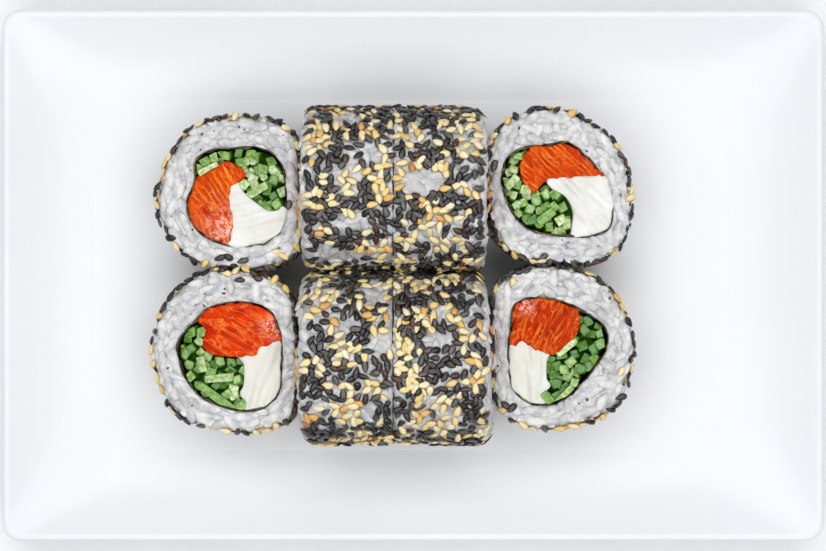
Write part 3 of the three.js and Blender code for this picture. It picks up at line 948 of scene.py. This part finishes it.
def build_cheese(piece, material, heading):
    """Cream cheese, with long shallow marks where the knife dragged it along a heading."""
    seed = piece.seed + 41

    def relief(points):
        marks = smooth_noise(dragged(points, heading, 0.16), 1.7, seed + 1)
        return 0.26 * smooth_noise(points, 5, seed) + 0.34 * marks

    points, faces = slab(piece, filling_loop(piece, "cheese"), 0.45, relief, 0.25, FILLING_BASE,
                         piece.thickness - FILLING_DROP)
    # Random patches of the cheese are darker and more beige, and on the front slices all of it is.
    beige_share = 0.5 + 0.3 * smooth_noise(points[:, :2], 7, seed + 2)
    if piece.name.startswith("front"):
        beige_share = beige_share + 0.5
    piece.add("cream_cheese", "cheese", piece.world(points), faces, material,
              tone=np.clip(beige_share, 0, 1))


# ---- Cucumber ----

CUCUMBER_PALENESS = {"back_left": 0.55, "front_left": 0.25, "front_right": 0.12}
STICK_SPACING = 2.1
STICK_TRIES = 3000
STICK_MARGIN = 0.75  # from the bundle's edge to the nearest sticks' middles
BORDER_INSET = 1.1  # the row of sticks along the edge stands this far in from it
BORDER_MARGIN = 0.95
STICK_WIDTHS = (2.0, 2.9)
STICK_OVERLAP = 0.35  # how far a stick may lean past the middle between it and its neighbour
STICK_CORNERS = 28  # points round a stick
STICK_SIDES = [1, 1, 1, 0, 0]  # which rings of a stick's mesh are on its long sides, which the cucumber material paints darker as painted shade
STICK_SOFTNESS = 0.08  # how far its upper edge is drawn in
STICK_HEART = 0.62  # size of the innermost ring of its top
STICK_DROP = 2.9  # how far below the cut face a stick's top lies at most
STICK_LEAN = 1.0
STICK_SLOPE = 0.4
UNDER_FALLEN = 1.7  # how far below the cut face it ends where a fallen one lies on it
FALLEN_HEIGHT = 2.3
STANDING_DEPTH, FALLEN_DEPTH = 4, 1.2  # down to where a stick's outline is the lower one
SKIN_ODDS = 0.4
CORE_BASE = 1.2
CORE_DROP = 4.6  # how far below the cut face the dark core ends; its dark green is painted shade for the gaps between the sticks


class FallenStick:
    """A cucumber stick that lies nearly level at a cut face."""

    def __init__(self, x, y, length, width, heading, paleness, has_skin):
        self.centre = np.array([x, y])
        self.half = np.array([length, width]) / 2
        self.heading = math.radians(heading)
        self.paleness = paleness
        self.has_skin = has_skin
        self.axes = axes_along(self.heading)

    def covers(self, spot):
        return bool(np.all(np.abs(self.axes @ (spot - self.centre)) < self.half + 0.5))

    def build(self, piece, edge, rng):
        """Its points, paleness and skin."""
        corners = CORNER_SIGNS * self.half
        corners = corners + rng.uniform(-0.25, 0.25, size=corners.shape)
        ring = even_loop(self.centre + corners @ self.axes, count=STICK_CORNERS)
        ring = pressed_to(ring, edge)
        tops = piece.thickness - 0.15 + (ring - ring.mean(axis=0)) @ rng.uniform(-0.06, 0.06, 2)
        points = stick_points(ring, ring, tops, piece.thickness - FALLEN_HEIGHT, FALLEN_DEPTH)
        return points, self.paleness, stick_skin(ring, self.heading + math.pi / 2, self.has_skin)


def cut_polygon(corners, point, normal):
    """What is left of a convex polygon behind a line through point."""
    sides = (corners - point) @ normal
    kept = []
    for index, corner in enumerate(corners):
        following = (index + 1) % len(corners)
        if sides[index] <= 0:
            kept.append(corner)
        if sides[index] * sides[following] < 0:
            share = sides[index] / (sides[index] - sides[following])
            kept.append(corner + (corners[following] - corner) * share)
    return np.array(kept)


def stick_outline(centre, others, turn, edge, rng):
    """A four-sided stick's outline, cut back where its neighbours and the nori are near."""
    corners = CORNER_SIGNS * rng.uniform(*STICK_WIDTHS, size=2) / 2
    corners += rng.uniform(-0.15, 0.15, size=corners.shape)
    corners = centre + corners @ axes_along(turn)
    for other in others[np.linalg.norm(others - centre, axis=1) < 6]:
        distance = np.linalg.norm(other - centre)
        normal = (other - centre) / distance
        corners = cut_polygon(corners, centre + normal * (distance / 2 + STICK_OVERLAP), normal)
    return pressed_to(even_loop(corners, count=STICK_CORNERS), edge)


def stick_points(ring, upper, tops, low, depth):
    """A prism with soft edges and a flat top. It leans from ring to upper within depth."""
    centre = upper.mean(axis=0)
    spokes = upper - centre
    reach = np.linalg.norm(spokes, axis=1)[:, None]
    inner = centre + spokes * np.clip(1 - STICK_SOFTNESS / reach, 0.5, 1)
    return np.vstack([
        at_level(ring, low),
        at_level(ring, tops - depth),
        at_level(upper, tops - STICK_SOFTNESS),
        at_level(inner, tops),
        at_level(centre + spokes * STICK_HEART,
                 tops.mean() + (tops - tops.mean()) * STICK_HEART),
    ])


def stick_skin(ring, side, has_skin):
    """1 where a stick still has the cucumber's dark skin, on one of its sides, else 0."""
    reach = np.tile((ring - ring.mean(axis=0)) @ axes_along(side)[0], len(STICK_SIDES))
    reach[-len(ring):] *= 0.6
    return has_skin * np.clip((reach / reach.max() - 0.45) / 0.4, 0, 1)


def stick_centres(edge, rng):
    """Where sticks stand: along the edge first, and then in the space that is left."""
    border = rng.permutation(grown(edge, -BORDER_INSET))
    border = border[is_inside(border, edge) & (edge_distance(border, edge) > BORDER_MARGIN)]
    tries = rng.uniform(edge.min(axis=0), edge.max(axis=0), size=(STICK_TRIES, 2))
    tries = tries[is_inside(tries, edge) & (edge_distance(tries, edge) > STICK_MARGIN)]
    tries = np.vstack([border, tries])
    return tries[spread(tries, STICK_SPACING)]


def standing_sticks(piece, edge, fallen, seed, rng):
    """Points, paleness and skin of each stick that stands in the roll."""
    centres = stick_centres(edge, rng)
    turns = 0.9 * smooth_noise(centres, 12, seed) + rng.normal(scale=0.3, size=len(centres))
    paleness = CUCUMBER_PALENESS.get(piece.name, 0.6) + 0.35 * smooth_noise(centres, 6, seed + 1)
    paleness += rng.uniform(-0.4, 0.4, size=len(centres))
    sticks = []
    for number, centre in enumerate(centres):
        others = np.delete(centres, number, axis=0)
        ring = stick_outline(centre, others, turns[number], edge, rng)
        tops = piece.thickness - 0.1 - STICK_DROP * rng.uniform() ** 1.2
        tops = tops + (ring - centre) @ rng.uniform(-STICK_SLOPE, STICK_SLOPE, size=2)
        upper = pressed_to(ring + rng.uniform(-STICK_LEAN, STICK_LEAN, size=2), edge)
        is_under = any(stick.covers(upper.mean(axis=0)) for stick in fallen)
        tops = np.minimum(tops, piece.thickness + (-UNDER_FALLEN if is_under else 0.1))
        points = stick_points(ring, upper, tops, FILLING_BASE, STANDING_DEPTH)
        skin = stick_skin(ring, any_heading(rng), rng.uniform() < SKIN_ODDS)
        sticks.append((points, np.clip(paleness[number], 0, 1), skin))
    return sticks


def build_cucumber(piece, material, core_material):
    """Julienned sticks that stand side by side in the roll, over a dark green core whose colour is
    painted shade for the gaps between them.
    """
    rng = random_for("cucumber", piece.name)
    seed = piece.seed + 61
    area = piece.end_loops("cucumber")[0]
    edge = even_loop(area, spacing=0.3)
    edge = grown(edge, np.where(edge_distance(edge, piece.nori) < BESIDE_NORI, 0.34, 0.1))
    fallen = [FallenStick(*row[1:]) for row in FALLEN_STICKS if row[0] == piece.name]
    sticks = standing_sticks(piece, edge, fallen, seed, rng)
    sticks += [stick.build(piece, edge, rng) for stick in fallen]
    points, tones, skins = zip(*sticks)
    rings = np.arange(len(points[0])).reshape(-1, STICK_CORNERS)
    ends = np.array([rings[-1], rings[0][::-1]])
    faces = [repeated(group, len(sticks), rings.size) for group in (ring_faces(rings), ends)]
    piece.add("cucumber_sticks", "cucumber", piece.world(np.vstack(points)), faces, material,
              tone=np.repeat(tones, rings.size), skin=np.concatenate(skins),
              side=np.tile(np.repeat(STICK_SIDES, STICK_CORNERS), len(sticks)))

    def relief(points):
        return 0.2 * smooth_noise(points, 3, seed)

    # The core under the sticks, painted dark green as the shade in the gaps between them.
    core, core_faces = slab(piece, grown(smooth_loop(area, 0.8), -0.1), 1.5, relief, 0.2,
                            CORE_BASE, piece.thickness - CORE_DROP)
    piece.add("cucumber_core", "cucumber", piece.world(core), core_faces, core_material)


# ---- Plate ----

CORNER_POINTS = 14
SIDE_POINTS = 8
PROFILE_STEPS = 5  # points in each stretch of the profile
FLAT_RINGS = 10  # rings across the well, and as many across the base


def plate_ring(inset, height):
    """A rounded rectangle, a given distance in from the plate's outer edge."""
    radius = PLATE_CORNER + inset * CORNER_GROWTH
    middle = np.array([PLATE_LENGTH, PLATE_WIDTH]) / 2 - inset - radius
    arcs = []
    for corner, signs in enumerate(CORNER_SIGNS):
        angles = (corner + np.linspace(0, 1, CORNER_POINTS)) * math.pi / 2
        arcs.append(signs * middle + radius * np.column_stack([np.cos(angles), np.sin(angles)]))
    shares = np.linspace(0, 1, SIDE_POINTS + 2)[1:-1, None]
    ring = []
    for arc, following in zip(arcs, arcs[1:] + arcs[:1]):
        ring += [arc, arc[-1] + (following[0] - arc[-1]) * shares]
    return at_level(np.vstack(ring), height)


def smooth_profile(profile):
    """More points along a profile, on a smooth curve through its points."""
    profile = np.array(profile, dtype=float)
    padded = np.vstack([profile[:1], profile, profile[-1:]])
    shares = np.linspace(0, 1, PROFILE_STEPS, endpoint=False)[:, None]
    spans = zip(padded, padded[1:], padded[2:], padded[3:])
    return np.vstack([*(curve(*span, shares) for span in spans), profile[-1:]])


def build_plate(material):
    profile = np.clip(smooth_profile(PLATE_PROFILE), 0, (PLATE_LENGTH, PLATE_HEIGHT))
    rings = [plate_ring(inset, height) for inset, height in profile]
    shrinking = np.linspace(1, 0.1, FLAT_RINGS)[:, None, None] * [[[1, 1, 0]]]
    well = rings[0] * shrinking + [0, 0, WELL_TOP]
    base = rings[-1] * shrinking + [0, 0, FOOT_RECESS]
    rings = [*well[::-1], *rings[1:-1], *base]
    count = len(rings[0])
    points = np.vstack([*rings, [0, 0, WELL_TOP], [0, 0, FOOT_RECESS]])
    index = np.arange(len(rings) * count).reshape(-1, count)
    well_middle, base_middle = np.full(count, index.size), np.full(count, index.size + 1)
    first, last = index[0], index[-1]
    triangles = np.vstack([
        np.column_stack([well_middle, first, np.roll(first, -1)]),
        np.column_stack([base_middle, np.roll(last, -1), last]),
    ])
    mesh_object("plate_glazed", points, [ring_faces(index, is_flipped=True), triangles], material,
                "plate", ["plate"])


# ---- Materials ----

def linear(colour):
    """An sRGB colour from 0 to 255 as the linear colour that a shader takes."""
    parts = [(c / 255 / 12.92) if c <= 10 else ((c / 255 + 0.055) / 1.055) ** 2.4 for c in colour]
    return (*parts, 1)


WHITE = (255, 255, 255)


class Paint:
    """A node material built round one Principled shader, in the objects' own space.

    A factor is a socket, or the name of an attribute. Colours are sRGB, from 0 to 255.
    """

    def __init__(self, name, **settings):
        self.material = bpy.data.materials.new(name)
        self.material.use_nodes = True
        self.tree = self.material.node_tree
        self.shader = self.tree.nodes["Principled BSDF"]
        self.coordinates = self.node("TexCoord").outputs["Object"]
        for key, value in settings.items():
            self.feed(self.shader.inputs[key.replace("_", " ")], value)

    def feed(self, target, value):
        """A link when the value is a socket, else the value itself."""
        if isinstance(value, bpy.types.NodeSocket):
            self.tree.links.new(value, target)
        else:
            target.default_value = value

    def node(self, kind, **inputs):
        node = self.tree.nodes.new(f"ShaderNode{kind}")
        for key, value in inputs.items():
            self.feed(node.inputs[key.replace("_", " ")], value)
        return node

    def noise(self, size, detail=3.0, roughness=0.55, distortion=0.0, coordinates=None):
        """Noise whose features are about size millimetres across."""
        node = self.node("TexNoise", Scale=1 / (size * MM), Detail=detail, Roughness=roughness,
                         Distortion=distortion, Vector=coordinates or self.coordinates)
        return node.outputs["Fac"]

    def attribute(self, name):
        node = self.node("Attribute")
        node.attribute_name = name
        return node.outputs["Fac"]

    def ramp(self, factor, *stops):
        """Colours or greys at positions from 0 to 1."""
        if isinstance(factor, str):
            factor = self.attribute(factor)
        node = self.node("ValToRGB", Fac=factor)
        elements = node.color_ramp.elements
        while len(elements) < len(stops):
            elements.new(0.5)
        for element, (position, value) in zip(elements, stops):
            element.position = position
            element.color = linear(value) if isinstance(value, tuple) else (*[value] * 3, 1)
        return node.outputs["Color"]

    def mix(self, factor, first, second, mode="MIX"):
        node = self.node("Mix")
        node.data_type = "RGBA"
        node.blend_type = mode
        for name, value in (("Factor", factor), ("A", first), ("B", second)):
            target = next(s for s in node.inputs if s.name == name and s.enabled)
            self.feed(target, linear(value) if isinstance(value, tuple) else value)
        return next(s for s in node.outputs if s.enabled)

    def tinted(self, colour, tint, share=1.0):
        return self.mix(share, colour, tint, "MULTIPLY")

    def math(self, operation, first, second):
        node = self.node("Math")
        node.operation = operation
        self.feed(node.inputs[0], first)
        self.feed(node.inputs[1], second)
        return node.outputs[0]

    def bump(self, height, depth, strength):
        """Relief from a grey value, depth millimetres high."""
        node = self.node("Bump", Strength=strength, Distance=depth * MM, Height=height)
        self.feed(self.shader.inputs["Normal"], node.outputs["Normal"])

    def colour(self, source):
        self.feed(self.shader.inputs["Base Color"], source)

    def roughness(self, factor, low, high):
        self.feed(self.shader.inputs["Roughness"], self.ramp(factor, (0, low), (1, high)))


def rice_material():
    paint = Paint("rice", Subsurface_Weight=0.12, Subsurface_Scale=0.0012,
                  Subsurface_Radius=(1.0, 0.95, 0.85), Roughness=0.34, Coat_Weight=0.1,
                  Coat_Roughness=0.25)
    tone = paint.ramp("tone", (0, (184, 182, 180)), (0.2, (209, 208, 207)),
                      (0.5, (216, 215, 213)), (1, (229, 228, 225)))
    cloud = paint.ramp(paint.noise(2.6), (0.4, (208, 211, 217)), (0.58, WHITE))
    paint.colour(paint.tinted(tone, cloud, 0.8))
    paint.roughness(paint.noise(1.1), 0.25, 0.5)
    paint.bump(paint.noise(0.55, detail=2), 0.12, 0.6)
    return paint.material


def black_seed_material():
    paint = Paint("sesame_black", Roughness=0.24, Specular_IOR_Level=0.5)
    tone = paint.ramp("tone", (0, (34, 31, 30)), (0.5, (56, 52, 50)), (0.88, (98, 93, 90)),
                      (0.93, (58, 38, 36)), (1, (92, 56, 44)))
    # Painted shade and sheen: each seed is painted dark along its edge and ends and lighter on its
    # flat face, as light from above falls on it.
    paint.colour(paint.tinted(tone, paint.ramp("rim", (0.5, 1.0), (0.85, 0.1))))
    paint.bump(paint.noise(0.5), 0.1, 0.8)
    return paint.material


def golden_seed_material():
    paint = Paint("sesame_golden", Roughness=0.42, Subsurface_Weight=0.25,
                  Subsurface_Scale=0.0006)
    tone = paint.ramp("tone", (0, (243, 235, 207)), (0.6, (239, 223, 169)),
                      (0.9, (233, 204, 134)), (0.985, (223, 170, 98)), (1, (188, 118, 70)))
    # Painted shade: each golden seed is painted a darker, more orange colour towards its edge and
    # ends.
    paint.colour(paint.tinted(tone, paint.ramp("rim", (0.4, WHITE), (1.0, (222, 200, 144)))))
    paint.bump(paint.noise(0.35), 0.05, 0.5)
    return paint.material


def nori_material():
    paint = Paint("nori", Roughness=0.4, Specular_IOR_Level=0.5)
    paint.colour(paint.ramp(paint.noise(1.6, detail=5), (0.32, (18, 19, 9)),
                            (0.5, (52, 50, 22)), (0.66, (134, 112, 50))))
    paint.bump(paint.noise(0.5, detail=4), 0.15, 0.8)
    return paint.material


def salmon_grain(paint, heading, lying):
    """Coordinates drawn out along a heading in the cut face."""
    stretch = 3.0
    mapping = paint.node("Mapping", Vector=paint.coordinates,
                         Rotation=(heading, 0, 0) if lying else (0, 0, heading),
                         Scale=(1, stretch, 1) if lying else (stretch, 1, 1))
    mapping.vector_type = "TEXTURE"
    return mapping.outputs["Vector"]


def fat_lines(paint, grain, spacing, waviness, lying):
    """Bands about spacing millimetres apart, broken here and there."""
    wave = paint.node("TexWave", Scale=0.314 / (spacing * MM), Distortion=waviness, Detail=3.0,
                      Detail_Scale=1.1, Detail_Roughness=0.6, Vector=grain)
    wave.bands_direction = "Z" if lying else "Y"
    lines = paint.ramp(wave.outputs["Fac"], (0.62, 0.0), (0.95, 1.0))
    broken = paint.ramp(paint.noise(2.6, coordinates=grain), (0.42, 0.05), (0.62, 1.0))
    return paint.math("MULTIPLY", lines, broken)


def salmon_material(name, heading, spacing, waviness, fat, veins, dark, light, lying=False):
    """Raw salmon: broken fat lines and fine wandering veins that run at a heading."""
    paint = Paint(f"salmon_{name}", Roughness=0.28, Subsurface_Weight=0.3,
                  Subsurface_Scale=0.0007, Subsurface_Radius=(1.0, 0.3, 0.1),
                  Specular_IOR_Level=0.04, Coat_Weight=0.03, Coat_Roughness=0.05)
    grain = salmon_grain(paint, heading, lying)
    lines = fat_lines(paint, grain, spacing, waviness, lying)
    fibres = paint.noise(0.7, detail=4, coordinates=grain)
    body = paint.ramp(paint.noise(4.5), (0.3, dark), (0.7, light))
    body = paint.tinted(body, paint.ramp(fibres, (0.33, (196, 166, 150)), (0.6, WHITE)), 0.6)
    pale = paint.ramp(paint.noise(1.4), (0.3, (250, 120, 14)), (0.75, (255, 168, 78)))
    winding = paint.noise(spacing * 1.7, distortion=0.9, coordinates=grain)
    threads = paint.ramp(winding, (0.465, 0.0), (0.5, 1.0), (0.535, 0.0))
    streaks = paint.math("MAXIMUM", paint.math("MULTIPLY", lines, fat),
                         paint.math("MULTIPLY", threads, veins))
    colour = paint.mix(streaks, body, pale)
    colour = paint.mix(paint.ramp("rim", (0.3, 0.0), (0.75, 1.0)), colour,
                       paint.tinted(colour, (206, 168, 150)))
    # Pale speckles where the flesh is torn: partly the fat's own colour, partly painted wet glints.
    fat_and_glint_speckle = paint.ramp(paint.noise(1.2, detail=5, roughness=0.7, distortion=1),
                         (0.47, 0.0), (0.56, 1.0))
    torn = paint.math("MULTIPLY", paint.attribute("torn"), fat_and_glint_speckle)
    paint.colour(paint.mix(torn, colour, (253, 208, 192)))
    paint.roughness(paint.noise(1.0), 0.18, 0.4)
    paint.bump(paint.math("ADD", fibres, streaks), 0.2, 0.6)
    return paint.material


def cheese_material():
    paint = Paint("cream_cheese", Roughness=0.45, Subsurface_Weight=0.15,
                  Subsurface_Scale=0.001, Subsurface_Radius=(1.0, 0.9, 0.75))
    cloud = paint.ramp(paint.noise(3.5), (0.3, (243, 243, 239)), (0.7, WHITE))
    tone = paint.ramp("tone", (0, (237, 238, 236)), (1, (225, 224, 216)))
    paint.colour(paint.tinted(tone, cloud))
    paint.roughness(paint.noise(2.0), 0.3, 0.5)
    paint.bump(paint.noise(1.3, detail=4, distortion=1.5), 0.2, 0.6)
    return paint.material


def cucumber_material():
    paint = Paint("cucumber", Roughness=0.2, Subsurface_Weight=0.35, Subsurface_Scale=0.0012,
                  Subsurface_Radius=(0.7, 1.0, 0.4), Coat_Weight=0.2, Coat_Roughness=0.08)
    flesh = paint.ramp("tone", (0, (90, 140, 46)), (0.45, (146, 184, 96)), (1, (222, 230, 188)))
    cloud = paint.ramp(paint.noise(1.1), (0.38, (176, 204, 146)), (0.6, WHITE))
    flesh = paint.tinted(flesh, cloud)
    # Painted shade: each stick's long sides are painted a darker, deeper green than its top.
    flesh = paint.mix(paint.attribute("side"), flesh, paint.tinted(flesh, (168, 206, 122)))
    skin = paint.ramp(paint.noise(1.2), (0.35, (28, 74, 12)), (0.7, (70, 136, 34)))
    paint.colour(paint.mix(paint.ramp("skin", (0.62, 0.0), (0.74, 1.0)), flesh, skin))
    paint.roughness(paint.noise(0.9), 0.12, 0.34)
    paint.bump(paint.noise(0.5), 0.1, 0.4)
    return paint.material


def cucumber_core_material():
    # Painted shade: the core's dark green stands for the shade deep in the gaps between the sticks.
    paint = Paint("cucumber_core", Roughness=0.4, Specular_IOR_Level=0.05)
    paint.colour(paint.ramp(paint.noise(1.5), (0.3, (20, 48, 4)), (0.7, (56, 104, 24))))
    return paint.material


def plate_material():
    paint = Paint("plate", Roughness=0.45, Specular_IOR_Level=0.3, Coat_Weight=0.08,
                  Coat_Roughness=0.25)
    paint.colour(paint.ramp(paint.noise(40), (0.3, (230, 232, 235)), (0.7, (233, 235, 238))))
    paint.bump(paint.noise(9, detail=1), 0.05, 0.2)
    return paint.material


def floor_material():
    paint = Paint("floor", Roughness=0.6)
    paint.colour(paint.ramp(paint.noise(60), (0.3, (238, 239, 241)), (0.7, (243, 244, 246))))
    return paint.material


# ---- Floor, light and camera ----

FLOOR_SIZE = 3000
CAMERA_HEIGHT = WELL_TOP + 650
CAMERA_LENS = 98.98  # with this height, it gives the photo's scale
LIGHT_HEIGHT = 1100
LIGHT_AIM = (0, 0, 20)
SOFTBOX_DEPTH = 520
# Name, x, y, length and power.
SOFTBOXES = [
    ("softbox_back", 0, 500, 1300, 6.1),
    ("softbox_front", 0, -500, 1300, 5.9),
    ("softbox_left", -500, 0, 1000, 2.1),
    ("softbox_right", 500, 0, 1000, 2.1),
]


def build_floor():
    half = FLOOR_SIZE / 2 * MM
    corners = [(-half, -half, 0), (half, -half, 0), (half, half, 0), (-half, half, 0)]
    mesh = bpy.data.meshes.new("floor")
    mesh.from_pydata(corners, [], [[0, 1, 2, 3]])
    mesh.materials.append(floor_material())
    add_object("floor", mesh)


def build_light():
    """Four softboxes round the camera, high up, so that only the deep gaps stay dark."""
    world = bpy.data.worlds.new("studio")
    world.use_nodes = True
    sky = world.node_tree.nodes["Background"].inputs
    sky["Color"].default_value = (0.95, 0.97, 1.0, 1)
    sky["Strength"].default_value = 0.3
    bpy.context.scene.world = world
    for name, x, y, length, power in SOFTBOXES:
        light = bpy.data.lights.new(name, "AREA")
        light.shape = "RECTANGLE"
        light.size, light.size_y = length * MM, SOFTBOX_DEPTH * MM
        light.energy = power
        lamp = add_object(name, light, (x, y, LIGHT_HEIGHT))
        towards = Vector(LIGHT_AIM) - Vector((x, y, LIGHT_HEIGHT))
        lamp.rotation_euler = towards.to_track_quat("-Z", "Y").to_euler()
    bpy.context.scene.view_settings.view_transform = "Standard"


def build_camera():
    """Straight above the plate."""
    camera = bpy.data.cameras.new("camera")
    camera.sensor_width = 36
    camera.lens = CAMERA_LENS
    camera.clip_start = 0.01
    bpy.context.scene.camera = add_object("camera", camera, (0, 0, CAMERA_HEIGHT))


# ---- Assembly ----

# The way the fat lines run (radians), their spacing in mm, how wavy and how strong they are,
# how strong the fine veins are, and the flesh's darkest and lightest colours.
SALMON_LOOKS = {
    "back_left": (-0.95, 1.6, 9, 0.85, 0.7, (188, 44, 0), (230, 88, 0)),
    "front_left": (-0.5, 2.8, 14, 0.35, 0.6, (192, 30, 0), (234, 64, 0)),
    "back_right": (-0.75, 1.3, 7, 0.85, 0.5, (184, 40, 0), (230, 80, 0)),
    "front_right": (1.2, 1.6, 12, 0.55, 0.75, (172, 32, 0), (212, 62, 0)),
}
LYING_SALMON_LOOK = (0.8, 1.4, 8, 0.6, 0.6, (200, 50, 0), (226, 78, 6))
# Where the flesh is torn, with pale speckles that are partly fat and partly painted glints: x, y
# and size.
TORN_SPOTS = {
    "back_left": (-50.5, 12.0, 5.6),
    "front_left": (-38.5, -14.0, 2.6),
    "back_right": (49.5, 34.5, 2.2),
    "front_right": (31.0, -8.5, 2.0),
}
NOT_TORN = (0, 0, 0.1)
# The way the knife dragged the cheese, in radians.
KNIFE_HEADINGS = {"back_left": 0.3, "front_left": 1.4, "back_right": 2.3, "front_right": 1.65}
LYING_KNIFE_HEADING = 0.8

rice = rice_material()
nori = nori_material()
cheese = cheese_material()
cucumber = cucumber_material()
cucumber_core = cucumber_core_material()
lying_salmon = salmon_material("lying", *LYING_SALMON_LOOK, lying=True)

build_camera()
build_floor()
build_light()
build_plate(plate_material())
for name, piece in slices.items():
    look = SALMON_LOOKS.get(name)
    build_rice(piece, rice)
    build_nori(piece, nori)
    build_salmon(piece, salmon_material(name, *look) if look else lying_salmon,
                 (look or LYING_SALMON_LOOK)[0], TORN_SPOTS.get(name, NOT_TORN))
    build_cheese(piece, cheese, KNIFE_HEADINGS.get(name, LYING_KNIFE_HEADING))
    build_cucumber(piece, cucumber, cucumber_core)
build_seeds({"black": black_seed_material(), "golden": golden_seed_material()})
